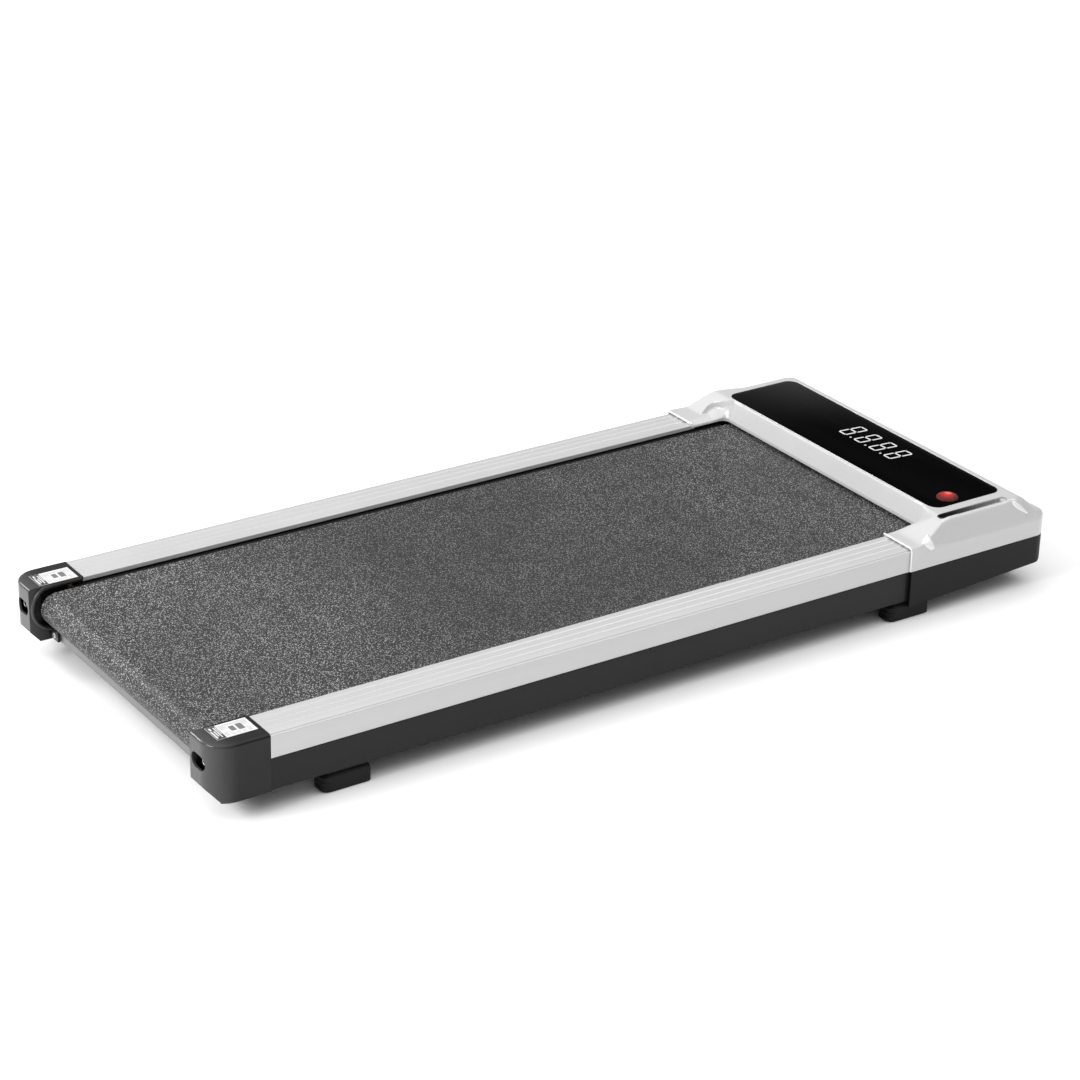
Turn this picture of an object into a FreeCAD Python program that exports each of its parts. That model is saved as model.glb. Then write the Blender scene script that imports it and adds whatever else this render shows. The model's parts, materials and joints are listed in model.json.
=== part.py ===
import FreeCAD, Part
import os
import Sketcher

# Under-desk treadmill.  Millimetres, +Z up, +Y towards the console, +X to the walker's right.
# The origin is on the floor under the middle of the overall box.

Vector = FreeCAD.Vector
doc = FreeCAD.newDocument("treadmill")
sheet = doc.addObject("Spreadsheet::Sheet", "Sizes")

drivingSizes = {
    "overallLength": 1226, "hoodWidth": 524, "railSpan": 520, "railTop": 100, "railInner": 208,
    "skirtBottom": 70, "frameBottom": 28, "frameOuter": 257, "frameInner": 225, "tubeWall": 2,
    "capFront": -539.5, "capInner": 207, "capTop": 100.5, "capWall": 3, "capCorner": 30,
    "hoodRear": 382, "flapTop": 103, "consoleTop": 125, "lipRear": 439, "shellWall": 3,
    "beltWidth": 400, "beltThickness": 1.7, "beltGap": 0.3, "rollerRadius": 19, "rollerSpan": 406,
    "rollerHeight": 71.5, "rearRoller": -579.5, "frontRoller": 468, "axleRadius": 7.5,
    "runningFit": 0.05, "bearingRadius": 16.5, "bearingWidth": 11,
    "deckThickness": 15, "deckHalf": 244, "boltOffset": 230, "boltRadius": 4, "boltHead": 6.5,
    "tensionTravel": 2.5, "motorCentre": 548, "motorHeight": 72, "motorRadius": 31,
    "drivePulley": 30, "motorPulley": 9, "pulleyOuter": 218, "pulleyInner": 206,
    "windowHalf": 221, "windowRear": 451.5, "windowFront": 566, "windowThickness": 3,
    "buttonX": 199, "buttonY": 491, "buttonRadius": 14.5, "slotInner": 234, "slotOuter": 246,
    "slotRear": 441.5, "slotFront": 556, "wheelCentre": 588, "wheelHeight": 20, "wheelRadius": 16,
    "footLength": 62, "frontFoot": 392, "rearFoot": -438, "accessHalf": 9.5, "accessWidth": 10,
}

for row, (alias, value) in enumerate(drivingSizes.items(), start=1):
    sheet.set(f"A{row}", alias)
    sheet.set(f"B{row}", str(value))
    sheet.setAlias(f"B{row}", alias)
doc.recompute()


class Size:
    """A length together with the spreadsheet formula that it comes from."""

    def __init__(self, value, formula):
        self.value = value
        self.formula = formula

    def joined(self, other, sign, value):
        return Size(value, f"({self.formula} {sign} {other.formula})")

    def __add__(self, other):
        other = size(other)
        return self.joined(other, "+", self.value + other.value)

    def __sub__(self, other):
        other = size(other)
        return self.joined(other, "-", self.value - other.value)

    def __mul__(self, other):
        other = size(other)
        return self.joined(other, "*", self.value * other.value)

    def __truediv__(self, other):
        other = size(other)
        return self.joined(other, "/", self.value / other.value)

    def __radd__(self, other):
        return size(other) + self

    def __rsub__(self, other):
        return size(other) - self

    def __neg__(self):
        return Size(-self.value, f"(0 - {self.formula})")


def size(item):
    """The named driving size, or a plain number, as a Size."""
    if isinstance(item, Size):
        return item
    if isinstance(item, str):
        return Size(float(getattr(sheet, item)), f"Sizes.{item}")
    return Size(float(item), f"({item})")


parts = {}


def keep(node, item):
    """Makes an object the sub-part that goes by this node name."""
    item.Label = node
    parts[node] = item
    return item


def place(item, x, y, z):
    """Binds an object's position to three sizes."""
    for letter, value in zip("xyz", (x, y, z)):
        item.setExpression(f"Placement.Base.{letter}", size(value).formula)


# ---- plain solids -----------------------------------------------------------------------------

def box(x, y, z, name="block"):
    """A box from three (low, high) pairs."""
    item = doc.addObject("Part::Box", name)
    for side, (low, high) in zip(("Length", "Width", "Height"), (x, y, z)):
        item.setExpression(side, (size(high) - low).formula)
    place(item, x[0], y[0], z[0])
    return item


turns = {"x": (Vector(0, 1, 0), 90), "y": (Vector(1, 0, 0), -90), "z": (Vector(0, 0, 1), 0)}


def rod(axis, radius, span, a, b, name="rod"):
    """A cylinder along one axis over the span; a and b are its centre in the other two."""
    item = doc.addObject("Part::Cylinder", name)
    item.Placement = FreeCAD.Placement(Vector(), FreeCAD.Rotation(*turns[axis]))
    item.setExpression("Radius", size(radius).formula)
    item.setExpression("Height", (size(span[1]) - span[0]).formula)
    where = {"x": (span[0], a, b), "y": (a, span[0], b), "z": (a, b, span[0])}[axis]
    place(item, *where)
    return item


def cone(low, high, span, x, y, name="cone"):
    """An upright cone from its low radius to its high radius."""
    item = doc.addObject("Part::Cone", name)
    item.setExpression("Radius1", size(low).formula)
    item.setExpression("Radius2", size(high).formula)
    item.setExpression("Height", (size(span[1]) - span[0]).formula)
    place(item, x, y, span[0])
    return item


def fused(pieces, name="joined"):
    item = doc.addObject("Part::MultiFuse", name)
    item.Shapes = pieces
    return item


def shared(pieces, name="overlap"):
    item = doc.addObject("Part::MultiCommon", name)
    item.Shapes = pieces
    return item


def cut(base, tools, name="trimmed"):
    item = doc.addObject("Part::Cut", name)
    item.Base = base
    item.Tool = tools[0] if len(tools) == 1 else fused(tools, "cutters")
    return item


def group(pieces, name="group"):
    item = doc.addObject("Part::Compound", name)
    item.Links = pieces
    return item


def mirrored(item, name="mirror"):
    twin = doc.addObject("Part::Mirroring", name)
    twin.Source = item
    twin.Normal = Vector(1, 0, 0)
    return twin


def pair(node, item):
    """Keeps a right-hand piece and its left-hand mirror image."""
    keep(f"{node}_right", item)
    keep(f"{node}_left", mirrored(item))


def rounded(item, radius, chooses, name="rounded"):
    """Fillets the edges that the test chooses."""
    doc.recompute()
    result = doc.addObject("Part::Fillet", name)
    result.Base = item
    chosen = [n for n, edge in enumerate(item.Shape.Edges, start=1) if chooses(edge)]
    result.Edges = [(n, radius, radius) for n in chosen]
    return result


def upright(x, y):
    """Chooses the vertical edges that stand at x, y."""
    return lambda edge: all(abs(v.X - x) < 0.1 and abs(v.Y - y) < 0.1 for v in edge.Vertexes)


# ---- sketched solids --------------------------------------------------------------------------

def outline(body, plane, points, offset=0):
    """A closed sketch of straight lines whose corners are bound to the sizes."""
    sketch = body.newObject("Sketcher::SketchObject", "profile")
    support = [f for f in body.Origin.OriginFeatures if f.Role == plane][0]
    sketch.AttachmentSupport = [(support, "")]
    sketch.MapMode = "FlatFace"
    sketch.setExpression("AttachmentOffset.Base.z", size(offset).formula)
    corners = [(size(u), size(v)) for u, v in points]
    flat = [Vector(u.value, v.value, 0) for u, v in corners]
    ends = flat[1:] + flat[:1]
    sketch.addGeometry([Part.LineSegment(a, b) for a, b in zip(flat, ends)], False)
    for n in range(len(flat)):
        sketch.addConstraint(Sketcher.Constraint("Coincident", n, 2, (n + 1) % len(flat), 1))
    for n, corner in enumerate(corners):
        for kind, value in zip(("DistanceX", "DistanceY"), corner):
            index = sketch.addConstraint(Sketcher.Constraint(kind, -1, 1, n, 1, value.value))
            sketch.setExpression(f"Constraints[{index}]", value.formula)
    return sketch


def extruded(plane, points, span, name="extrusion"):
    """A padded outline between two places along the plane's own axis."""
    low, high = size(span[0]), size(span[1])
    body = doc.addObject("PartDesign::Body", name)
    start = -high if plane == "XZ_Plane" else low       # that plane looks along -Y
    pad = body.newObject("PartDesign::Pad", "pad")
    pad.Profile = outline(body, plane, points, start)
    pad.setExpression("Length", (high - low).formula)
    return body


def turned(plane, points, axis, name="turning"):
    """A revolved outline about one of the body's own axes, drawn in the coordinates of the plane."""
    body = doc.addObject("PartDesign::Body", name)
    sketch = outline(body, plane, points)
    spin = body.newObject("PartDesign::Revolution", "spin")
    spin.Profile = sketch
    spin.ReferenceAxis = (sketch, [axis])
    spin.Angle = 360
    return body


def side_outline(points, span, name="side profile"):
    """An outline in Y and Z, carried along X."""
    return extruded("YZ_Plane", points, span, name)


# ---- chassis ----------------------------------------------------------------------------------

frameTop = size("skirtBottom") - 0.5
plateTop = 39
cradleX = (-118, -48)
postPlaces = [(x, y) for x in (28, 172) for y in (522, 578)]
tubeRear = size(-548)
tubeFront = size(430)
deckTop = size("rollerHeight") + "rollerRadius"
deckBottom = deckTop - "deckThickness"
screwRows = (-420, -120, 180, 400)
cushionRows = (-500, -270, 30, 300)
cushionHalf = 30
deckScrewX = 240


def deck_holes(radius, z):
    return [rod("z", radius, z, side * deckScrewX, y, "hole") for side in (-1, 1) for y in screwRows]


def side_frames():
    wall = size("tubeWall")
    outer = box(("frameInner", "frameOuter"), (tubeRear, tubeFront), ("frameBottom", frameTop))
    inner = box((size("frameInner") + wall, size("frameOuter") - wall),
                (tubeRear - 1, tubeFront + 1), (size("frameBottom") + wall, frameTop - wall))
    holes = [rod("z", 3.1, (frameTop - 5, frameTop + 1), deckScrewX, y, "hole") for y in screwRows]
    for foot in ("frontFoot", "rearFoot"):
        holes += [rod("z", 2.6, (size("frameBottom") - 1, size("frameBottom") + 5),
                      239, size(foot) + step, "hole") for step in (-18, 18)]
    pair("side_frame", cut(outer, [inner] + holes))


def cross_beams():
    """Three square tubes below the belt's lower run, between the side frames."""
    beams = []
    for y in (-430, -20, 380):
        outer = box((-size("frameInner"), "frameInner"), (y - 12, y + 12), ("frameBottom", 46))
        inner = box((-226, 226), (y - 10, y + 10), (size("frameBottom") + 2, 44))
        beams.append(cut(outer, [inner]))
    keep("cross_beams", group(beams))


def rear_brackets():
    """A slotted plate at each rear corner, with the flange that the adjusting bolt pulls against."""
    y, z = size("rearRoller"), size("rollerHeight")
    slotHalf = size("tensionTravel") + 0.3
    slotRadius = size("axleRadius") + 0.1
    plate = fused([box((222, 225), (-599, -558), (34, 88)), box((222, 225), (-559, -505), (34, frameTop)),
                   box((222, 243), (-599, -596), (57, 87))])
    slot = [box((221, 226), (y - slotHalf, y + slotHalf), (z - slotRadius, z + slotRadius))]
    slot += [rod("x", slotRadius, (221, 226), y + side * slotHalf, z) for side in (size(-1), size(1))]
    boltHole = rod("y", size("boltRadius") + 0.6, (-600, -595), "boltOffset", z)
    pair("rear_bracket", cut(plate, slot + [boltHole]))


def front_brackets():
    """The plates that carry the front roller, the motor plate and the transport wheels."""
    y, z = size("frontRoller"), size("rollerHeight")
    plate = fused([box((222, 225), (400, 444), (34, frameTop)), box((222, 225), (443, 600), (35, 88)),
                   box((222, 225), (573, 603), (12, 60))])
    holes = [rod("x", size("boltRadius") + "runningFit", (221, 226), y, z),
             rod("x", 4.05, (221, 226), "wheelCentre", "wheelHeight")]
    pair("front_bracket", cut(plate, holes))


def motor_plate():
    wide = box((-222, 222), (494, 566), (plateTop - 3, plateTop))
    narrow = box((-165, 165), (565, 598), (plateTop - 3, plateTop))
    screwHoles = [rod("z", 2.1, (plateTop - 4, plateTop + 1), x, y) for x in cradleX for y in (526, 570)]
    standHoles = [rod("z", 1.6, (plateTop - 4, plateTop + 1), x, y) for x, y in postPlaces]
    keep("motor_plate", cut(fused([wide, narrow]), screwHoles + standHoles))


def deck():
    board = box((-size("deckHalf"), "deckHalf"), (-552, 432), (deckBottom, deckTop))
    keep("running_deck", cut(board, deck_holes(3.2, (deckBottom - 1, deckTop + 1))
                             + deck_holes(6.2, (deckTop - 4, deckTop + 1))))
    cushions = [box((side * 240 - 11, side * 240 + 11), (y - cushionHalf, y + cushionHalf),
                    (frameTop, deckBottom), "cushion") for side in (-1, 1) for y in cushionRows]
    keep("deck_cushions", group(cushions))
    shanks = [rod("z", 3, (58, deckTop - 3), side * deckScrewX, y) for side in (-1, 1) for y in screwRows]
    heads = [cone(3, 6, (deckTop - 3.9, deckTop - 0.4), side * deckScrewX, y)
             for side in (-1, 1) for y in screwRows]
    keep("deck_screws", group([fused([shank, head]) for shank, head in zip(shanks, heads)]))


def foot_rails():
    """An extruded foot rail: ribbed top, outer skirt, and a leg that stands over the deck."""
    top, inner, outer = size("railTop"), size("railInner"), size("railSpan") / 2
    under = top - 2.6
    points = [(inner, top - 4), (inner, top)]
    for centre in (222, 234, 246):
        points += [(centre - 4.5, top), (centre - 3.5, top - 0.7),
                   (centre + 3.5, top - 0.7), (centre + 4.5, top)]
    points += [(256, top), (256.3, top - 0.8), (256.7, top - 0.8), (257, top),
               (outer - 1.2, top), (outer, top - 1.2), (outer, "skirtBottom"),
               (outer - 2.4, "skirtBottom"), (outer - 2.4, under), (216, under), (216, deckTop + 0.3),
               (213, deckTop + 0.3), (213, under), (inner + 2, under), (inner + 2, top - 4)]
    pair("foot_rail", extruded("XZ_Plane", points, ("capFront", size("hoodRear") + 6)))


# ---- rear end ---------------------------------------------------------------------------------

barScrewX = 199
barScrewZ = 36


def end_caps():
    rear, front = -size("overallLength") / 2, size("capFront")
    inner, outer, top = size("capInner"), size("railSpan") / 2, size("capTop")
    wall, bottom = size("capWall"), size("frameBottom")
    z = size("rollerHeight")
    block = side_outline([(rear, bottom + 15), (rear, top), (front, top), (front, bottom),
                          (rear + 13, bottom)], (inner, outer), "cap block")
    corner = rounded(block, drivingSizes["capCorner"], upright(outer.value, rear.value))
    # the rolled edge runs round the top, except along the inner face and against the rail
    skin = rounded(corner, 4, lambda e: e.BoundBox.ZMin > top.value - 1.5 and
                   e.BoundBox.YMin < front.value - 1 and e.BoundBox.XMax > inner.value + 0.1)
    hollow = side_outline([(rear + wall, bottom + 17), (rear + wall, top - wall), (front + 1, top - wall),
                           (front + 1, bottom - 1), (-551, bottom - 1), (-551, bottom + 2.5),
                           (rear + 16, bottom + 2.5)], (inner + wall, outer - 2.6), "cap hollow")
    hollow = rounded(hollow, 26, upright(outer.value - 2.6, (rear + wall).value))
    arch = [rod("x", 27, (inner - 1, inner + 4), "rearRoller", z),
            box((inner - 1, inner + 4), ("rearRoller", front + 1), (z - 27, z + 26)),
            rod("y", "accessHalf", (rear - 1, rear + 5), "boltOffset", z),
            rod("y", "accessHalf", (rear - 1, rear + 5), size("boltOffset") - "accessWidth", z),
            box((size("boltOffset") - "accessWidth", "boltOffset"), (rear - 1, rear + 5),
                (z - "accessHalf", z + "accessHalf"))]
    shell = cut(skin, [hollow] + arch)
    tab = box((191, inner + 2), (-584.4, -581.2), (29, 44))
    hole = rod("y", 2.5, (-586, -580), barScrewX, barScrewZ)
    pair("end_cap", cut(fused([shell, tab]), [hole]))
    label = box((210, 241), (-596, -545), (top, top + 0.3), "label")
    keep("cap_labels", group([label, mirrored(label)]))


def guard_bar():
    """The channel that closes the gap below the rear roller."""
    points = [(-581, 30), (-570, 30), (-570, 32), (-579, 32), (-579, 39), (-570, 39), (-570, 41), (-581, 41)]
    channel = side_outline(points, (-206.4, 206.4), "channel")
    holes = [rod("y", 2.5, (-582, -578), side * barScrewX, barScrewZ) for side in (-1, 1)]
    keep("rear_guard_bar", cut(channel, holes))
    screws = [fused([rod("y", 4.2, (-587, -584.4), side * barScrewX, barScrewZ),
                     rod("y", 2.4, (-585, -574), side * barScrewX, barScrewZ)]) for side in (-1, 1)]
    return screws


def roller_profile():
    """The half section of a roller tube, wider inside at its ends for the bearings."""
    half, radius, seat = size("rollerSpan") / 2, size("rollerRadius"), size("bearingRadius") + 0.05
    return [(-half, seat), (-half, radius - 1), (1 - half, radius), (half - 1, radius), (half, radius - 1),
            (half, seat), (half - 13, seat), (half - 13, seat - 1), (13 - half, seat - 1), (13 - half, seat)]


def roller(node, y):
    body = turned("XY_Plane", roller_profile(), "H_Axis")
    place(body, 0, y, "rollerHeight")
    keep(node, body)


def bearing(x, y):
    span = (size(x) - size("bearingWidth") / 2, size(x) + size("bearingWidth") / 2)
    ring = rod("x", "bearingRadius", span, y, "rollerHeight")
    bore = rod("x", size("axleRadius") + "runningFit", (span[0] - 1, span[1] + 1), y, "rollerHeight")
    return cut(ring, [bore])


def bearings(node, y):
    offset = size("rollerSpan") / 2 - 6.5
    keep(node, group([bearing(offset, y), bearing(-offset, y)]))


def rear_axle():
    shaft = rod("x", "axleRadius", (-238, 238), "rearRoller", "rollerHeight")
    threads = [rod("y", size("boltRadius") + "runningFit", (-590, -570),
                   side * size("boltOffset"), "rollerHeight")
               for side in (size(-1), size(1))]
    keep("rear_axle", cut(shaft, threads))


def adjust_bolts():
    """Socket head bolts, reached through the holes in the caps, that pull the rear axle back."""
    x, z = size("boltOffset"), size("rollerHeight")
    headEnd = -607
    head = rounded(rod("y", "boltHead", (headEnd, -599.3), x, z), 0.8,
                   lambda e: abs(e.BoundBox.YMax - headEnd) < 0.1)
    shank = rod("y", "boltRadius", (-600, -562), x, z)
    socket = doc.addObject("Part::Prism", "socket")
    socket.Polygon = 6
    socket.setExpression("Circumradius", (size("boltHead") / 2).formula)
    socket.Height = 5
    socket.Placement = FreeCAD.Placement(Vector(), FreeCAD.Rotation(*turns["y"]))
    place(socket, x, -608, z)
    pair("adjust_bolt", cut(fused([head, shank]), [socket]))


def running_belt():
    """The belt as one closed loop round both rollers."""
    half, z = size("beltWidth") / 2, size("rollerHeight")
    inner = size("rollerRadius") + "beltGap"

    def loop(radius, x):
        ends = [rod("x", radius, (-x, x), y, z) for y in ("rearRoller", "frontRoller")]
        return fused([box((-x, x), ("rearRoller", "frontRoller"), (z - radius, z + radius))] + ends)

    keep("running_belt", cut(loop(inner + "beltThickness", half), [loop(inner, half + 1)]))


# ---- drive ------------------------------------------------------------------------------------

pulleyGrooves = 5


def front_axle():
    y, z = size("frontRoller"), size("rollerHeight")
    shaft = rod("x", "axleRadius", (-222, 222), y, z)
    thread = [rod("x", size("boltRadius") + 0.05, span, y, z) for span in ((-223, -200), (200, 223))]
    keep("front_axle", cut(shaft, thread))
    bolts = [fused([rod("x", "boltHead", (225, 231), y, z), rod("x", "boltRadius", (203, 226), y, z)])]
    bolts.append(mirrored(bolts[0]))
    keep("front_axle_bolts", group(bolts))


def grooved(radius, bore):
    """Half section of a ribbed belt pulley, drawn along X with its grooves."""
    low, high = -size("pulleyOuter"), -size("pulleyInner")
    radius = size(radius)
    pitch = (high - low - 2) / pulleyGrooves
    points = [(low, bore), (low, radius)]
    for n in range(pulleyGrooves):
        start = low + 1 + pitch * n
        points += [(start, radius), (start + pitch / 2, radius - 1.5)]
    points += [(high - 1, radius), (high, radius), (high, bore)]
    return points


def pulley(node, radius, bore, y, z):
    body = turned("XY_Plane", grooved(radius, bore), "H_Axis")
    place(body, 0, y, z)
    keep(node, body)


def motor():
    y, z, radius = size("motorCentre"), size("motorHeight"), size("motorRadius")
    can = cut(rod("x", radius, (-140, -20), y, z), [rod("x", radius - 3, (-137, -19), y, z),
                                                   rod("x", 5.1, (-141, -136), y, z)])
    keep("motor_can", can)
    bell = cut(fused([rod("x", radius, (-20, -10), y, z), rod("x", 14, (-11, -5), y, z)]),
               [rod("x", 5.1, (-21, -7), y, z)])
    brushes = [rod("y", 4.5, (y + radius - 6, y + radius + 3), -15, z),
               rod("y", 4.5, (y - radius - 3, y - radius + 6), -15, z)]
    slots = [rod("x", 2, (-21, -9), y + 20, z + step) for step in (size(-16), size(16))]
    keep("motor_end_bell", cut(bell, brushes + slots))
    keep("motor_brush_caps", group(brushes))
    keep("motor_shaft", rod("x", 5, (-221, -8), y, z))
    core = cut(rod("x", radius - 5, (-128, -34), y, z), [rod("x", 5, (-129, -33), y, z)])
    keep("motor_armature", core)
    blades = [rod("x", 3.5, (-201, -185), y + 20 * c, z + 20 * s)
              for c, s in ((1, 0), (0.5, 0.87), (-0.5, 0.87), (-1, 0), (-0.5, -0.87), (0.5, -0.87))]
    keep("motor_flywheel", cut(rod("x", 29, (-200, -186), y, z), [rod("x", 5, (-201, -185), y, z)] + blades))
    cradles = [cut(box((x - 8, x + 8), (y - 28, y + 28), (plateTop, 61)),
                   [rod("x", radius + 0.05, (x - 9, x + 9), y, z)]
                   + [rod("z", 2.1, (plateTop - 1, plateTop + 8), x, y + step)
                      for step in (size(-22), size(22))])
               for x in cradleX]
    keep("motor_cradles", group(cradles))
    screws = [fused([rod("z", 4, (plateTop - 5.5, plateTop - 3), x, y + step),
                     rod("z", 2, (plateTop - 4, plateTop + 7), x, y + step)])
              for x in cradleX for step in (size(-22), size(22))]
    keep("motor_screws", group(screws))


def drive_belt():
    """The ribbed belt: two arcs joined by the outer tangents of the two pulleys."""
    gap, thickness = size("beltGap").value, 2.0
    rear = Vector(0, size("frontRoller").value, size("rollerHeight").value)
    front = Vector(0, size("motorCentre").value, size("motorHeight").value)
    along = front - rear
    lean = (size("drivePulley").value - size("motorPulley").value) / along.Length
    forward = Vector(along).normalize()
    across = Vector(1, 0, 0).cross(forward)

    def loop(extra):
        big, small = size("drivePulley").value + extra, size("motorPulley").value + extra
        rise = (1 - lean ** 2) ** 0.5
        ends = {}
        for side in (1, -1):
            normal = forward * lean + across * rise * side
            ends[side] = (rear + normal * big, front + normal * small)
        edges = [Part.makeLine(*ends[1]),
                 Part.Arc(ends[1][1], front + forward * small, ends[-1][1]).toShape(),
                 Part.makeLine(ends[-1][1], ends[-1][0]),
                 Part.Arc(ends[-1][0], rear - forward * big, ends[1][0]).toShape()]
        return Part.Wire(edges)

    width = size("pulleyOuter").value - size("pulleyInner").value - 2
    outer, inner = (Part.Face(loop(extra)).extrude(Vector(width, 0, 0)) for extra in (gap + thickness, gap))
    belt = doc.addObject("Part::Feature", "drive_belt")
    belt.Shape = outer.cut(inner)
    belt.Placement = FreeCAD.Placement(Vector(1 - size("pulleyOuter").value, 0, 0), FreeCAD.Rotation())
    keep("drive_belt", belt)


# ---- hood and base ----------------------------------------------------------------------------

bossPlaces = ((240, 440), (240, 540), (60, 606))
consoleFront = 577
skirtFlat = 600


def hood_envelope(inset, open_bottom):
    """The hood's outer form, or the space inside it when inset is the wall's thickness."""
    bottom = size("skirtBottom") - (1 if open_bottom else 0)
    rear, front = size("hoodRear") - (1 if open_bottom else 0), size("overallLength") / 2 - inset
    top = size("consoleTop") - inset
    flap = size("flapTop") - inset * 0.93
    nose = size(101.5) - inset
    flank = inset * 0.6
    outer = size("hoodWidth") / 2 - flank
    slope = [(consoleFront - inset * 0.4, top), (skirtFlat - inset * 0.8, nose),
             (front, nose), (front, bottom)]
    wing = [(rear, bottom), (rear, flap), (409 + inset * 0.3, flap), (424.5 + inset * 0.4, size(113) - inset),
            (441 + inset * 0.5, top)] + slope
    lip = size("lipRear") - (1 if open_bottom else 0)
    middle = [(lip, bottom), (lip, 96 if open_bottom else 101.5)]
    middle += [(442.5, 96), (443 + inset, 100)] if open_bottom else [(443, 103)]
    middle += [(451 + inset, top)] + slope
    wingSpan = (size("capInner") - 1 + flank, outer)
    wings = side_outline(wing, wingSpan)
    pieces = [wings, mirrored(wings), side_outline(middle, (-207 - flank, 207 + flank))]
    crown = [(-outer, bottom - 1), (-outer, size(92) - inset * 0.3), (-238 + flank, top),
             (248 - flank, top), (outer, size(92) - inset * 0.3), (outer, bottom - 1)]
    limits = extruded("XZ_Plane", crown, (rear - 1, front + 1))
    corner = max(18 - inset, 2)
    plan = box((-outer, outer), (rear, front), (bottom - 1, top + 1))
    plan = rounded(plan, corner, lambda e: e.BoundBox.ZLength > 50 and e.BoundBox.YMin > 600)
    flapBlock = box(wingSpan, (rear, 410), (bottom, flap))
    return fused([shared([fused(pieces), limits, plan]), flapBlock, mirrored(flapBlock)])


def front_hood():
    skin = hood_envelope(0, False)
    inside = hood_envelope(drivingSizes["shellWall"], True)
    top = size("consoleTop")
    seat = box((-size("windowHalf") - 0.3, size("windowHalf") + 0.3),
               (size("windowRear") - 0.3, size("windowFront") + 0.3),
               (top - size("windowThickness") - 0.1, top + 1))
    seat = rounded(seat, 16, lambda e: e.BoundBox.ZLength > 3.5)
    light = box((-214, 214), (460, 558), (110, top))
    slot = box(("slotInner", "slotOuter"), ("slotRear", "slotFront"), (110, top + 1))
    slot = rounded(slot, 5, lambda e: e.BoundBox.ZLength > 10 and e.BoundBox.XLength < 0.1)
    ledge = cut(box((-224, 224), (453, 569), (118, 123)), [box((-214, 214), (460, 558), (117, 124))])
    beltWay = [box((side * 206 - 3, side * 206 + 3), (381, 442), (69, 97.5)) for side in (-1, 1)]
    bosses = [rod("z", 5, (size("skirtBottom"), 92), side * x, y)
              for x, y in bossPlaces for side in (-1, 1)]
    pilots = [rod("z", 1.9, (69, 88), side * x, y) for x, y in bossPlaces for side in (-1, 1)]
    pegs = [rod("z", 3, (113.6, 119), x, y) for x in (-211, 211) for y in (462, 555)]
    shell = cut(skin, [inside] + beltWay)
    solid = fused([shell, ledge] + bosses + pegs)
    keep("front_hood", cut(solid, [seat, light, slot] + pilots))


def base_cover():
    """The black lower shell; its floor rises towards the front."""
    rear, front, top = size("hoodRear") + 2, size("overallLength") / 2, size("skirtBottom") - 0.2
    half = size("hoodWidth") / 2
    skin = side_outline([(rear, 20.5), (rear, top), (front, top), (front, 43), (front - 3, 36),
                         (front - 11, 31.5)],
                        (-half, half))
    skin = rounded(skin, 18, lambda e: e.BoundBox.ZLength > 20 and e.BoundBox.YMin > 612)
    hollow = side_outline([(rear - 1, 23), (rear - 1, top + 1), (front - 2.5, top + 1), (front - 2.5, 44),
                           (front - 5, 39), (front - 12, 34)], (2 - half, half - 2))
    hollow = rounded(hollow, 16, lambda e: e.BoundBox.ZLength > 20 and e.BoundBox.YMin > 609)
    bosses = [rod("z", 5, (22.5 + (y - 384) * 0.05, top), side * x, y)
              for x, y in bossPlaces for side in (-1, 1)]
    bosses = shared([fused(bosses), side_outline([(rear, 20.5), (rear, top), (front, top), (front, 43),
                                                  (front - 11, 31.5)], (-half, half))])
    screwWays = [rod("z", 2.2, (15, 71), side * x, y) for x, y in bossPlaces for side in (-1, 1)]
    screwWays += [rod("z", 4.3, (15, 35), side * x, y) for x, y in bossPlaces for side in (-1, 1)]
    footWays = [box((side * 239 - 17, side * 239 + 17), (380, 427), (15, 28)) for side in (-1, 1)]
    wheelWays = [box((side * 213 - 15, side * 213 + 15), (569, 607), (15, 40)) for side in (-1, 1)]
    mouths = [box((152, 180), (606, 615), (47, 67)), box((112, 134), (606, 615), (48, 66))]
    shell = fused([cut(skin, [hollow]), bosses])
    keep("base_cover", cut(shell, screwWays + footWays + wheelWays + mouths))
    return [fused([rod("z", 4.1, (32, 34.9), side * x, y), rod("z", 1.8, (34, 86), side * x, y)])
            for x, y in bossPlaces for side in (-1, 1)]


# ---- console ----------------------------------------------------------------------------------

boardTop = 113.6
digitPitch = 31.2


def console():
    top = size("consoleTop")
    glass = box((-size("windowHalf"), "windowHalf"), ("windowRear", "windowFront"),
                (top - "windowThickness", top))
    glass = rounded(glass, 15.7, lambda e: e.BoundBox.ZLength > 2.5)
    hole = rod("z", size("buttonRadius") + 0.4, (118, 127), "buttonX", "buttonY")
    keep("display_window", cut(glass, [hole]))
    board = cut(box((-210, 210), (459, 559), (boardTop - 1.6, boardTop)),
                [rod("z", 3.2, (110, 120), x, y) for x in (-211, 211) for y in (462, 555)])
    keep("display_board", board)
    digits = [box((-45 + n * digitPitch, -19 + n * digitPitch), (500, 547), (boardTop, 121.5))
              for n in range(4)]
    keep("digit_modules", group(digits + [rod("z", 1.5, (boardTop, 120), 211, 503)]))


def start_button():
    """The red dome and the small switch below it."""
    radius, x, y = size("buttonRadius"), size("buttonX"), size("buttonY")
    dome = doc.addObject("Part::Sphere", "dome")
    dome.Radius = 28
    place(dome, x, y, 101.5)
    skirt = rod("z", radius, (119.5, 132), x, y)
    stem = rod("z", 4, (117, 121), x, y)
    keep("start_button", fused([shared([dome, skirt]), stem]))
    keep("button_switch", box((x - 6, x + 6), (y - 6, y + 6), (boardTop, 115.2)))


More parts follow.
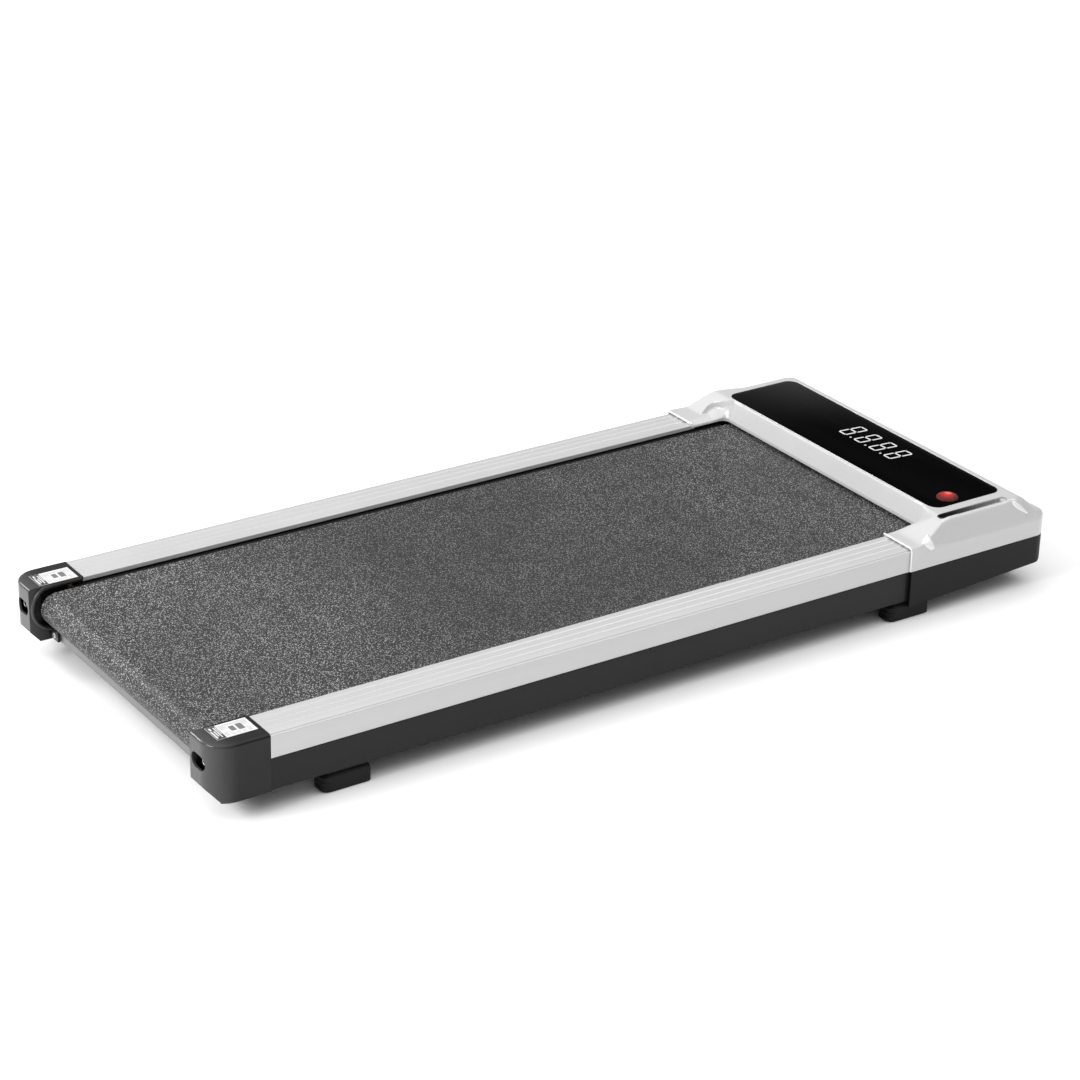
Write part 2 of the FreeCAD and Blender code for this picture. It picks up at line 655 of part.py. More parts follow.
def slot_tray():
    """The liner of the slot beside the display."""
    shell, well = (box((size("slotInner") + gap, size("slotOuter") - gap),
                       (size("slotRear") + gap, size("slotFront") - gap), z)
                   for gap, z in ((0.2, (112, 124.6)), (1.4, (114, 126))))
    shell = rounded(shell, 4.8, lambda e: e.BoundBox.ZLength > 12.5)
    well = rounded(well, 3.6, lambda e: e.BoundBox.ZLength > 11.5)
    keep("slot_tray", cut(shell, [well]))


# ---- electrics --------------------------------------------------------------------------------

def electrics():
    low, high = plateTop + 8, plateTop + 9.6
    board = box((20, 180), (514, 586), (low, high))
    holes = [rod("z", 1.7, (low - 1, high + 1), x, y) for x, y in postPlaces]
    keep("control_board", cut(board, holes))
    posts = [fused([rod("z", 3.5, (plateTop, low), x, y), rod("z", 1.5, (plateTop - 3, high), x, y),
                    rod("z", 3, (high, high + 2), x, y)]) for x, y in postPlaces]
    keep("board_posts", group(posts))
    fins = [box((40, 92), (518 + 7 * n, 520 + 7 * n), (high + 2, high + 31)) for n in range(5)]
    keep("heat_sink", fused([box((40, 92), (518, 548), (high, high + 3))] + fins))
    capacitors = [rod("z", 10, (high, high + 35), x, 568) for x in (60, 86, 112)]
    relay = [box((125, 150), (520, 538), (high, high + 19))]
    keep("board_parts", group(capacitors + relay))


rockerTilt = -8
rockerPivot = Vector(0, 606, 57)


def power_entry():
    """The appliance inlet and the rocker switch in the base cover's front wall."""
    flange = (609, 610.4)
    body = fused([box((153, 179), (586, 610), (48, 66)), box((150, 182), flange, (45, 69))])
    well = box((155, 177), (592, 611), (50, 64))
    pins = [box((x - 1, x + 1), (590, 604), (54, 60)) for x in (160, 166, 172)]
    keep("power_inlet", fused([cut(body, [well])] + pins))
    frame = fused([box((113, 133), (586, 610), (48, 66)), box((110, 136), flange, (45, 69))])
    keep("switch_housing", cut(frame, [box((116, 130), (597, 611), (49.8, 64.2))]))
    rocker = side_outline([(601, 52.5), (610.4, 51.4), (612.6, 51.4), (610.2, 57), (612.6, 62.6),
                           (610.4, 62.6),
                           (601, 61.5)], (116.5, 129.5), "rocker")
    rocker.Placement = FreeCAD.Placement(Vector(), FreeCAD.Rotation(Vector(1, 0, 0), rockerTilt), rockerPivot)
    keep("power_rocker", rocker)


# ---- feet and wheels --------------------------------------------------------------------------

def feet():
    half = size("footLength") / 2
    for node, y in (("front_feet", size("frontFoot")), ("rear_feet", size("rearFoot"))):
        block = side_outline([(y - half, 3), (y - half, 22), (y - half + 4, 28),
                              (y + half, 28), (y + half, 2),
                              (y + half - 2, 0), (y - half + 3, 0)], (227, 252))
        ribs = [box((250, 253), (y - half + 3 + 4 * n, y - half + 5 + 4 * n), (3, 20)) for n in range(3)]
        holes = [rod("z", 2.6, (-1, 29), 239, y + step) for step in (-18, 18)]
        holes += [rod("z", 5, (-1, 6), 239, y + step) for step in (-18, 18)]
        foot = cut(fused([block] + ribs), holes)
        keep(node, group([foot, mirrored(foot)]))
    screws = [fused([rod("z", 4.5, (3, 6), 239, size(foot) + step),
                     rod("z", 2.5, (5, 36), 239, size(foot) + step)])
              for foot in ("frontFoot", "rearFoot") for step in (-18, 18)]
    keep("foot_screws", group(screws + [mirrored(screw) for screw in screws]))


def transport_wheels():
    y, z, radius = size("wheelCentre"), size("wheelHeight"), size("wheelRadius")
    section = [(203, 4.05), (203, radius - 2), (205, radius), (215, radius), (217, radius - 2), (217, 4.05)]
    wheel = turned("XY_Plane", section, "H_Axis")
    place(wheel, 0, y, z)
    pair("transport_wheel", wheel)
    pin = fused([rod("x", 4, (201, 228), y, z), rod("x", 6, (199.5, 201.5), y, z),
                 rod("x", 6, (225, 228), y, z)])
    keep("wheel_pins", group([pin, mirrored(pin)]))


side_frames()
cross_beams()
rear_brackets()
front_brackets()
motor_plate()
deck()
foot_rails()
end_caps()
barScrews = guard_bar()
roller("rear_roller", "rearRoller")
roller("front_roller", "frontRoller")
bearings("rear_bearings", "rearRoller")
bearings("front_bearings", "frontRoller")
rear_axle()
adjust_bolts()
running_belt()
front_axle()
pulley("drive_pulley", "drivePulley", 8.5, "frontRoller", "rollerHeight")
pulley("motor_pulley", "motorPulley", 5, "motorCentre", "motorHeight")
motor()
drive_belt()
front_hood()
keep("cover_screws", group(base_cover() + barScrews))
console()
start_button()
slot_tray()
electrics()
power_entry()
feet()
transport_wheels()
doc.recompute()

# ---- checks and files -------------------------------------------------------------------------

for item in doc.Objects:
    if "Invalid" in item.State or "Error" in item.State:
        raise RuntimeError(f"{item.Label} failed: {item.State}")
os.makedirs("parts", exist_ok=True)
for node, item in parts.items():
    if item.Shape.isNull() or not item.Shape.isValid() or item.Shape.Volume <= 0:
        raise RuntimeError(f"{node} has no valid shape")
    item.Shape.exportStep(f"parts/{node}.step")
    print(f"{node:22s} {len(item.Shape.Solids)} solid(s) {item.Shape.Volume / 1000:9.1f} cm3")
print(len(parts), "sub-parts")
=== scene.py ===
import json
import math

import bmesh
import bpy
import numpy as np
from mathutils import Matrix, Vector

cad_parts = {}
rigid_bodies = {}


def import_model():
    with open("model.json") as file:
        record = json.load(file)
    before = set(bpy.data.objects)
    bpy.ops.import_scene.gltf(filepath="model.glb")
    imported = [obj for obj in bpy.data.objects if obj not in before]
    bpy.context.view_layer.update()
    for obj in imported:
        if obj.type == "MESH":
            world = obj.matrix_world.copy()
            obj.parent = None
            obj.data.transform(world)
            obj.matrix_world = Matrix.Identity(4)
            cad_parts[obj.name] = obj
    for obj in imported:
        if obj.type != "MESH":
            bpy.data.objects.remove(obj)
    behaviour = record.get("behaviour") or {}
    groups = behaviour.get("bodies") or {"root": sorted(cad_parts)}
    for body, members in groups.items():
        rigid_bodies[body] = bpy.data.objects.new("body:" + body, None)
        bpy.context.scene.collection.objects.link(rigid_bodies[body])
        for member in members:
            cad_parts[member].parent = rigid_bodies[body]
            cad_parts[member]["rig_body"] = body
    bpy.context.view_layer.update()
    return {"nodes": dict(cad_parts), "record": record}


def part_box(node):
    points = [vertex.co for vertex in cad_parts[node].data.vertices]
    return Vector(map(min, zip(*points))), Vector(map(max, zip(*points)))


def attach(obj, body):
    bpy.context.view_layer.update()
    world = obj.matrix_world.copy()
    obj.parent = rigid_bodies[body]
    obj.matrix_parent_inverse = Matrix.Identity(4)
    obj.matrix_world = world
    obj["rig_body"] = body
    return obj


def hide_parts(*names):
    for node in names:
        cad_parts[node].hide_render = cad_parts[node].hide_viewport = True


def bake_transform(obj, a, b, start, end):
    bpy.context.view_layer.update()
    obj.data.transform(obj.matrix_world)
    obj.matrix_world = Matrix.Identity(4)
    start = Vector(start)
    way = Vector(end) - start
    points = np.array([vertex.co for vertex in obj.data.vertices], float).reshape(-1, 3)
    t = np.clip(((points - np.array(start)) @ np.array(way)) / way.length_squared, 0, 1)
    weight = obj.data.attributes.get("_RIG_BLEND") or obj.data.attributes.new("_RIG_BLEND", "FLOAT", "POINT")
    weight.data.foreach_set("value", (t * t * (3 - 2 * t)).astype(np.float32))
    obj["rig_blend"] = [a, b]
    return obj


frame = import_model()
scene = bpy.context.scene
mm = 0.001
print("frame loaded:", len(frame["nodes"]), "nodes")


# A node socket that takes part in sums
class Wire:
    def __init__(self, bench, socket):
        self.bench, self.socket = bench, socket

    def math(self, operation, *values):
        node = self.bench.node("ShaderNodeMath", {"operation": operation}, dict(enumerate(values)))
        return self.bench.wire(node, 0)

    def __add__(self, other): return self.math("ADD", self, other)
    def __radd__(self, other): return self.math("ADD", other, self)
    def __sub__(self, other): return self.math("SUBTRACT", self, other)
    def __rsub__(self, other): return self.math("SUBTRACT", other, self)
    def __mul__(self, other): return self.math("MULTIPLY", self, other)
    def __truediv__(self, other): return self.math("DIVIDE", self, other)
    def __pow__(self, other): return self.math("POWER", self, other)
    def __abs__(self): return self.math("ABSOLUTE", self)
    def sine(self): return self.math("SINE", self)
    def cosine(self): return self.math("COSINE", self)
    def above(self, other): return self.math("GREATER_THAN", self, other)
    def below(self, other): return self.math("LESS_THAN", self, other)
    def least(self, other): return self.math("MINIMUM", self, other)
    def most(self, other): return self.math("MAXIMUM", self, other)
    def held(self, low, high): return self.most(low).least(high)

    def eased(self, low, high, start=0.0, end=1.0):
        node = self.bench.node("ShaderNodeMapRange", {"interpolation_type": "SMOOTHSTEP"},
                               {0: self, 1: low, 2: high, 3: start, 4: end})
        return self.bench.wire(node, 0)


# adds nodes to one tree
class Bench:
    def __init__(self, tree):
        self.tree = tree

    def node(self, kind, settings=None, inputs=None):
        made = self.tree.nodes.new(kind)
        for key, value in (settings or {}).items():
            setattr(made, key, value)
        for key, value in (inputs or {}).items():
            self.feed(made.inputs[key], value)
        return made

    def feed(self, socket, value):
        if isinstance(value, Wire):
            value = value.socket
        if isinstance(value, bpy.types.NodeSocket):
            self.tree.links.new(value, socket)
        elif isinstance(value, tuple) and socket.type == "RGBA" and len(value) == 3:
            socket.default_value = (*value, 1)
        else:
            socket.default_value = value

    def wire(self, node, output=0):
        return Wire(self, node.outputs[output])

    # the x, y and z of a vector
    def parts(self, vector):
        split = self.node("ShaderNodeSeparateXYZ", None, {0: vector})
        return [self.wire(split, n) for n in range(3)]

    def joined(self, x, y, z):
        return self.wire(self.node("ShaderNodeCombineXYZ", None, {0: x, 1: y, 2: z}))

    # two colours mixed by a share
    def mixed(self, share, first, second, blend="MIX"):
        node = self.node("ShaderNodeMix", {"data_type": "RGBA", "blend_type": blend},
                         {0: share, 6: first, 7: second})
        return self.wire(node, 2)

    def scaled(self, vector, x, y, z):
        node = self.node("ShaderNodeVectorMath", {"operation": "MULTIPLY"}, {0: vector, 1: (x, y, z)})
        return self.wire(node)

    def noise(self, vector, scale, detail=2.0, rough=0.5):
        node = self.node("ShaderNodeTexNoise", None,
                         {"Vector": vector, "Scale": scale, "Detail": detail, "Roughness": rough})
        return self.wire(node, "Fac" if "Fac" in node.outputs else 0)

    def cells(self, vector, scale, feature="F1", output="Distance", spread=1.0):
        node = self.node("ShaderNodeTexVoronoi", {"feature": feature},
                         {"Vector": vector, "Scale": scale, "Randomness": spread})
        return self.wire(node, output)


# A material: steady holds the shader's constant inputs, build adds what varies
def painted(name, steady, build=None):
    made = bpy.data.materials.new(name)
    made.use_nodes = True
    bench = Bench(made.node_tree)
    shader = made.node_tree.nodes["Principled BSDF"]
    for key, value in steady.items():
        bench.feed(shader.inputs[key], value)
    if build:
        place = bench.wire(bench.node("ShaderNodeTexCoord"), "Object")
        for key, value in build(bench, place).items():
            bench.feed(shader.inputs[key], value)
    return made


# A bump whose relief is depth metres high
def bumped(bench, height, depth, strength=1.0):
    return bench.wire(bench.node("ShaderNodeBump", None,
                                 {"Strength": strength, "Distance": depth, "Height": height}), "Normal")


# moulded plastic: fine grain, cloudy gloss, faint handling marks
def mouldedPlastic(name, colour, gloss, grainScale, grainDepth, steady=None, scuff=0.12, fleck=0.03):
    def build(bench, place):
        cloud = bench.noise(place, 9, 3, 0.6)
        grain = bench.noise(place, grainScale, 2, 0.7)
        rubAndSheen = bench.noise(bench.scaled(place, 1, 0.25, 1.6), 55, 6, 0.75).eased(0.58, 0.78)
        tone = 1 + (cloud - 0.5) * 0.06 + (grain - 0.5) * fleck
        base = bench.mixed(1.0, colour, bench.joined(tone, tone, tone), "MULTIPLY")
        base = bench.mixed(rubAndSheen * scuff * 0.35, base, tuple(min(c + 0.16, 1) for c in colour))
        rough = gloss + (cloud - 0.5) * 0.10 + rubAndSheen * scuff + (grain - 0.5) * 0.08
        return {"Base Color": base, "Roughness": rough, "Normal": bumped(bench, grain, grainDepth)}
    return painted(name, steady or {}, build)


# metal with fine lines along one axis, lightly stained
def brushedMetal(name, colour, along, gloss, streakDepth, steady):
    def build(bench, place):
        stretch = [900, 900, 900]
        stretch["xyz".index(along)] = 7
        streak = bench.noise(bench.scaled(place, *stretch), 1, 3, 0.65)
        wide = bench.noise(bench.scaled(place, *[s * 0.09 for s in stretch]), 1, 2, 0.5)
        stain = bench.noise(place, 14, 4, 0.6)
        tone = 1 + (streak - 0.5) * 0.10 + (wide - 0.5) * 0.08 + (stain - 0.5) * 0.05
        base = bench.mixed(1.0, colour, bench.joined(tone, tone, tone), "MULTIPLY")
        rough = gloss + (streak - 0.5) * 0.16 + (stain - 0.5) * 0.12
        return {"Base Color": base, "Roughness": rough, "Normal": bumped(bench, streak, streakDepth)}
    return painted(name, steady, build)


# zinc plating: small spangles, darker where it has been handled
def platedSteel(name, colour):
    def build(bench, place):
        spangle = bench.cells(place, 420, "F1", "Distance", 0.9)
        stain = bench.noise(place, 120, 4, 0.6)
        tone = 0.86 + spangle * 0.2 + (stain - 0.5) * 0.2
        base = bench.mixed(1.0, colour, bench.joined(tone, tone, tone * 0.98), "MULTIPLY")
        return {"Base Color": base, "Roughness": 0.24 + stain * 0.22,
                "Normal": bumped(bench, spangle + stain, 0.00002)}
    return painted(name, {"Metallic": 1.0}, build)


# stove enamel with orange peel and a few worn specks
def powderCoat(name, colour):
    def build(bench, place):
        peel = bench.noise(place, 700, 3, 0.55)
        chip = bench.noise(place, 260, 5, 0.8).eased(0.70, 0.76)
        cloud = bench.noise(place, 12, 3, 0.6)
        base = bench.mixed(chip * 0.3, colour, (0.12, 0.12, 0.12))
        return {"Base Color": base, "Roughness": 0.40 + (cloud - 0.5) * 0.16 + chip * 0.2,
                "Normal": bumped(bench, peel, 0.00006)}
    return painted(name, {"Specular IOR Level": 0.22}, build)


# matt rubber with a pitted skin and dust in its hollows
def mouldedRubber(name, colour):
    def build(bench, place):
        pits = bench.cells(place, 900, "F1", "Distance")
        dust = bench.noise(place, 40, 5, 0.7).eased(0.5, 0.8)
        base = bench.mixed(dust * 0.16, colour, (0.17, 0.16, 0.15))
        return {"Base Color": base, "Roughness": 0.66 + dust * 0.2 - pits * 0.08,
                "Normal": bumped(bench, pits, 0.00007)}
    return painted(name, {"Specular IOR Level": 0.2}, build)


# black laminate faces over a brown fibreboard edge
def laminateBoard(name):
    def build(bench, place):
        sides = bench.parts(bench.wire(bench.node("ShaderNodeNewGeometry"), "Normal"))
        edge = 1 - abs(sides[2]).eased(0.6, 0.9)
        fibre = bench.noise(bench.scaled(place, 500, 500, 2600), 1, 4, 0.7)
        board = bench.mixed(fibre, (0.10, 0.055, 0.03), (0.24, 0.15, 0.085))
        slick = bench.noise(place, 350, 3, 0.6)
        face = bench.mixed(slick, (0.010, 0.010, 0.011), (0.022, 0.022, 0.022))
        return {"Base Color": bench.mixed(edge, face, board), "Roughness": 0.38 + edge * 0.4 + slick * 0.08,
                "Normal": bumped(bench, fibre * edge + slick, 0.00008)}
    return painted(name, {}, build)


# green solder mask with copper tracks and pads
def circuitBoard(name):
    def build(bench, place):
        x, y = bench.parts(place)[:2]
        step = 0.0038
        lane = (x / step).math("FRACT", x / step)
        row = (y / step).math("FRACT", y / step)
        pick = bench.cells(bench.scaled(place, 1, 1, 0), 85, "F1", "Distance").above(0.42)
        track = (abs(lane - 0.5).below(0.12) * pick).most(abs(row - 0.5).below(0.10) * (1 - pick))
        pad = bench.cells(bench.scaled(place, 1, 1, 0), 260, "F1", "Distance", 0.2).below(0.16)
        mask = bench.mixed(track, (0.012, 0.085, 0.035), (0.035, 0.19, 0.08))
        return {"Base Color": bench.mixed(pad, mask, (0.62, 0.60, 0.55)), "Metallic": pad * 0.9,
                "Roughness": 0.32 + pad * 0.1, "Normal": bumped(bench, track + pad, 0.00004)}
    return painted(name, {"Coat Weight": 0.3}, build)


# stacked steel laminations with copper windings between them
def woundCore(name):
    def build(bench, place):
        x, y, z = bench.parts(place)
        lamination = (x * 1300).math("FRACT", x * 1300)
        turn = z.math("ARCTAN2", z - 0.072, y - 0.548) * 3.82
        slot = abs(turn.math("FRACT", turn) - 0.5).below(0.17)
        wire = (turn * 14).sine() * 0.5 + 0.5
        steel = bench.mixed(lamination.below(0.2), (0.30, 0.29, 0.28), (0.12, 0.11, 0.11))
        copper = bench.mixed(wire, (0.30, 0.10, 0.03), (0.72, 0.30, 0.12))
        return {"Base Color": bench.mixed(slot, steel, copper), "Roughness": 0.36 + lamination * 0.1,
                "Normal": bumped(bench, lamination + wire * slot, 0.0001)}
    return painted(name, {"Metallic": 0.8}, build)


silverShell = mouldedPlastic("silverShell", (0.535, 0.535, 0.54), 0.30, 1500, 0.000012,
                             {"Metallic": 0.12, "Coat Weight": 0.45, "Coat Roughness": 0.13}, 0.05, 0.05)
# the silver plastic made paler, as a painted highlight on the folds and the flap edge beads
paintedHighlightShell = mouldedPlastic("paintedHighlightShell", (0.76, 0.76, 0.76), 0.20, 1500, 0.000012,
                               {"Metallic": 0.1, "Coat Weight": 0.5, "Coat Roughness": 0.08}, 0.05, 0.03)
blackShell = mouldedPlastic("blackShell", (0.007, 0.007, 0.0073), 0.40, 1100, 0.00005,
                            {"Specular IOR Level": 0.16}, 0.10, 0.5)

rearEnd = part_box("end_cap_right")[0].y


# glossy black plastic, with a painted reflection that makes its rear end paler
def capShade(bench, place):
    cloud = bench.noise(place, 9, 3, 0.6)
    grain = bench.noise(place, 900, 2, 0.7)
    # this noise both wobbles the edge of the painted reflection and varies the roughness
    rubAndSheen = bench.noise(bench.scaled(place, 30, 30, 6), 1, 5, 0.7)
    forward = bench.parts(place)[1] + (rubAndSheen - 0.5) * 0.012
    base = bench.mixed(forward.eased(rearEnd - 0.004, rearEnd + 0.038),
                       (0.058, 0.058, 0.058), (0.0045, 0.0045, 0.0047))
    return {"Base Color": base, "Roughness": 0.2 + (cloud - 0.5) * 0.1 + rubAndSheen * 0.05,
            "Normal": bumped(bench, grain, 0.00002)}


capShell = painted("capShell", {"Coat Weight": 0.16, "Coat Roughness": 0.08,
                                "Specular IOR Level": 0.22}, capShade)


# grey plastic, with painted shade that makes it near black towards the rear end of the slot
def trayShade(bench, place):
    grain = bench.noise(place, 1000, 3, 0.7)
    outOfShade = bench.parts(place)[1].eased(0.452, 0.556)
    base = bench.mixed(outOfShade, (0.012, 0.012, 0.012), (0.34, 0.34, 0.34))
    speck = bench.noise(place, 420, 2, 0.7).above(0.58)
    return {"Base Color": bench.mixed(speck * outOfShade * 0.5, base, (0.60, 0.60, 0.60)),
            "Roughness": 0.38 + grain * 0.2, "Normal": bumped(bench, grain, 0.00005)}


greyShell = painted("greyShell", {}, trayShade)
railSkin = brushedMetal("railSkin", (0.545, 0.545, 0.545), "y", 0.40, 0.000015, {"Metallic": 0.35})
barSkin = brushedMetal("barSkin", (0.23, 0.23, 0.23), "x", 0.36, 0.00002, {"Metallic": 0.85})
zinc = platedSteel("zinc", (0.50, 0.50, 0.49))
blackened = powderCoat("blackened", (0.006, 0.006, 0.0062))
enamel = powderCoat("enamel", (0.011, 0.011, 0.0115))
rubber = mouldedRubber("rubber", (0.009, 0.009, 0.0095))
laminate = laminateBoard("laminate")
circuit = circuitBoard("circuit")
windings = woundCore("windings")


# pebbled vinyl with pale flecks, laid out by the piece's own map in metres
def beltWeave(bench, place):
    flat = bench.wire(bench.node("ShaderNodeUVMap", {"uv_map": "UVMap"}))
    wander = bench.joined(bench.noise(flat, 300), bench.noise(flat, 340), 0)
    warped = bench.wire(bench.node("ShaderNodeVectorMath", {"operation": "ADD"},
                                   {0: flat, 1: bench.scaled(wander, 0.0012, 0.0012, 0)}))
    pebble = bench.cells(warped, 430, "F1", "Distance")
    chance = bench.noise(flat, 520, 2, 0.6)
    along = bench.parts(flat)[1]
    busy = 1 - along.eased(0.18, 0.42) * 0.5 + along.eased(0.55, 0.95) * 0.25
    patch = bench.noise(flat, 5.5, 3, 0.6).eased(0.35, 0.65, 0.7, 1.0)
    pale = (pebble.below(0.36) * chance.above(0.48)).most(bench.noise(flat, 560, 2, 0.7).above(0.63))
    dark = bench.noise(flat, 480, 2, 0.6).below(0.46)
    wide = bench.noise(flat, 3.2, 3, 0.6)
    ground = bench.mixed(wide, (0.018, 0.018, 0.019), (0.029, 0.029, 0.029))
    ground = bench.mixed(dark * 0.85, ground, (0.006, 0.006, 0.006))
    worn = bench.noise(bench.scaled(flat, 0.6, 3, 1), 6, 4, 0.6).eased(0.4, 0.75)
    return {"Base Color": bench.mixed(pale * busy * patch * 0.75, ground, (0.64, 0.64, 0.64)),
            "Roughness": 0.52 + worn * 0.12 - pale * 0.1,
            "Normal": bumped(bench, 1 - pebble + pale * 0.3, 0.00035, 0.8)}


beltVinyl = painted("beltVinyl", {"Specular IOR Level": 0.3}, beltWeave)


# polished black glass, with a painted reflection that makes it paler towards its far left end, and a few wipe
# marks
def blackGlass(bench, place):
    smear = bench.noise(bench.scaled(place, 10, 60, 1), 1, 4, 0.6).eased(0.5, 0.8)
    grit = bench.noise(place, 2200, 1, 0.5)
    x, y = bench.parts(place)[:2]
    sheen = (x * -1).eased(0.05, 0.24) * (y.eased(0.450, 0.56) * 0.6 + 0.4)
    pale = sheen * 0.016 + smear * 0.001
    return {"Base Color": bench.mixed(pale, (0.0007, 0.0007, 0.0008), (1.0, 1.0, 1.0)),
            "Roughness": 0.07 + smear * 0.06, "Normal": bumped(bench, grit, 0.000001)}


glass = painted("glass", {"Specular IOR Level": 0.006}, blackGlass)


# white lamp segments, a little brighter along the middle
def litSegment(bench, place):
    glow = bench.noise(place, 700, 3, 0.6)
    return {"Base Color": bench.mixed(glow, (0.45, 0.45, 0.45), (0.68, 0.68, 0.67)),
            "Roughness": 0.30 + glow * 0.2,
            "Emission Color": bench.mixed(glow, (0.42, 0.42, 0.42), (0.60, 0.60, 0.59))}


segmentGlow = painted("segmentGlow", {"Emission Strength": 0.2}, litSegment)

domeLow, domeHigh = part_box("start_button")
domeMiddle = (domeLow + domeHigh) / 2


# A deep red lens with painted shade that darkens its rim, a painted highlight near its middle, a painted red
# glow strongest in the middle, and specks under the surface
def redLens(bench, place):
    x, y = bench.parts(place)[:2]
    out = (((x - domeMiddle.x) ** 2 + (y - domeMiddle.y) ** 2) ** 0.5) / (14.5 * mm)
    speck = bench.noise(place, 900, 3, 0.6)
    deep = bench.mixed(out.eased(0.1, 0.95), (0.46, 0.006, 0.006), (0.05, 0.0005, 0.0005))
    fromSpot = ((x - domeMiddle.x + 2 * mm) ** 2 + (y - domeMiddle.y - 3 * mm) ** 2) ** 0.5
    shine = 1 - (fromSpot / (7 * mm)).eased(0.1, 1.0)
    return {"Base Color": bench.mixed(shine * 0.4 + speck * 0.1, deep, (0.95, 0.34, 0.32)),
            "Roughness": 0.10 + speck * 0.08,
            "Emission Color": bench.mixed(out.eased(0.05, 0.8), (0.55, 0.01, 0.008), (0.03, 0.0, 0.0)),
            "Normal": bumped(bench, speck, 0.00001)}


redGloss = painted("redGloss", {"Coat Weight": 0.04, "Coat Roughness": 0.12, "Specular IOR Level": 0.06,
                                "Emission Strength": 0.10}, redLens)


def stickerFace(colour):
    def build(bench, place):
        paper = bench.noise(place, 1600, 3, 0.6)
        soil = bench.noise(place, 80, 4, 0.7).eased(0.55, 0.8)
        base = bench.mixed(paper * 0.08 + soil * 0.06, colour, (0.35, 0.35, 0.34))
        return {"Base Color": base, "Roughness": 0.36 + paper * 0.15,
                "Normal": bumped(bench, paper, 0.00001)}
    return build


stickerWhite = painted("stickerWhite", {}, stickerFace((0.66, 0.66, 0.66)))
stickerBlack = painted("stickerBlack", {}, stickerFace((0.020, 0.020, 0.022)))
stickerGrey = painted("stickerGrey", {}, stickerFace((0.13, 0.13, 0.14)))

finishes = {
    "silver_plastic": silverShell, "black_plastic": blackShell, "cap_plastic": capShell,
    "label_vinyl": stickerWhite, "anodised_silver": railSkin, "black_steel": enamel,
    "deck_board": laminate, "black_rubber": rubber, "zinc_steel": zinc, "belt_fabric": beltVinyl,
    "bare_aluminium": barSkin, "copper_core": windings, "display_glass": glass,
    "green_board": circuit, "digit_white": segmentGlow, "red_lens": redGloss, "grey_plastic": greyShell,
}
slotOf = {part["node"]: part["material_slot"] for part in frame["record"]["subparts"]}
for node, item in frame["nodes"].items():
    item.data.materials.clear()
    item.data.materials.append(finishes[slotOf[node]])
print("finishes ready:", len(finishes))


# smooth faces, with sharp edges where they turn by more than the limit
def smoothed(mesh, limit=35):
    work = bmesh.new()
    work.from_mesh(mesh)
    for face in work.faces:
        face.smooth = True
    for edge in work.edges:
        edge.smooth = len(edge.link_faces) == 2 and edge.calc_face_angle(0) < math.radians(limit)
    work.to_mesh(mesh)
    work.free()


def shown(name, mesh, material=None):
    item = bpy.data.objects.new(name, mesh)
    scene.collection.objects.link(item)
    if material:
        mesh.materials.clear()
        mesh.materials.append(material)
        mesh.polygons.foreach_set("material_index", [0] * len(mesh.polygons))
    return item


# the rig's finished shape as a plain object, in place of the rig
def settled(rig, name):
    bpy.context.view_layer.update()
    graph = bpy.context.evaluated_depsgraph_get()
    mesh = bpy.data.meshes.new_from_object(rig.evaluated_get(graph), preserve_all_data_layers=True,
                                           depsgraph=graph)
    bpy.data.objects.remove(rig)
    mesh.name = name
    coats = [coat for coat in mesh.materials if coat]
    return shown(name, mesh, coats[0] if coats else None)


def modified(item, kind, **settings):
    change = item.modifiers.new(kind.lower(), kind)
    for key, value in settings.items():
        setattr(change, key, value)
    return change


# gives a finished piece its body and hides the nodes it stands for
def fitted(item, body, slot, *nodes):
    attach(item, body)
    if nodes:
        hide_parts(*nodes)
    return item


# A welded copy of a node's mesh
def merged(node):
    mesh = frame["nodes"][node].data.copy()
    work = bmesh.new()
    work.from_mesh(mesh)
    bmesh.ops.remove_doubles(work, verts=work.verts, dist=0.00002)
    bmesh.ops.dissolve_limit(work, angle_limit=math.radians(0.6), verts=work.verts, edges=work.edges)
    work.to_mesh(mesh)
    work.free()
    for name in [a.name for a in mesh.attributes if a.name.startswith("custom_normal")]:
        mesh.attributes.remove(mesh.attributes[name])
    return mesh


# stands for a node: the same shape with its sharp edges broken
def softened(node, name, width, segments=2, limit=38):
    item = shown(name, merged(node))
    smoothed(item.data, limit)
    modified(item, "BEVEL", width=width * mm, segments=segments, limit_method="ANGLE",
             angle_limit=math.radians(limit), harden_normals=True, use_clamp_overlap=True)
    item = settled(item, name)
    item.data.materials.clear()
    item.data.materials.append(finishes[slotOf[node]])
    return fitted(item, frame["nodes"][node]["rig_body"], slotOf[node], node)


# the lowest and highest corner of each separate solid of a node
def islands(node):
    work = bmesh.new()
    work.from_mesh(frame["nodes"][node].data)
    bmesh.ops.remove_doubles(work, verts=work.verts, dist=0.00002)
    left, found = set(work.verts), []
    while left:
        reached, edge = set(), [left.pop()]
        while edge:
            vert = edge.pop()
            reached.add(vert)
            for line in vert.link_edges:
                other = line.other_vert(vert)
                if other in left:
                    left.discard(other)
                    edge.append(other)
        points = np.array([v.co for v in reached])
        found.append((Vector(points.min(0)), Vector(points.max(0))))
    work.free()
    return sorted(found, key=lambda pair: tuple(round(c, 4) for c in pair[0]))


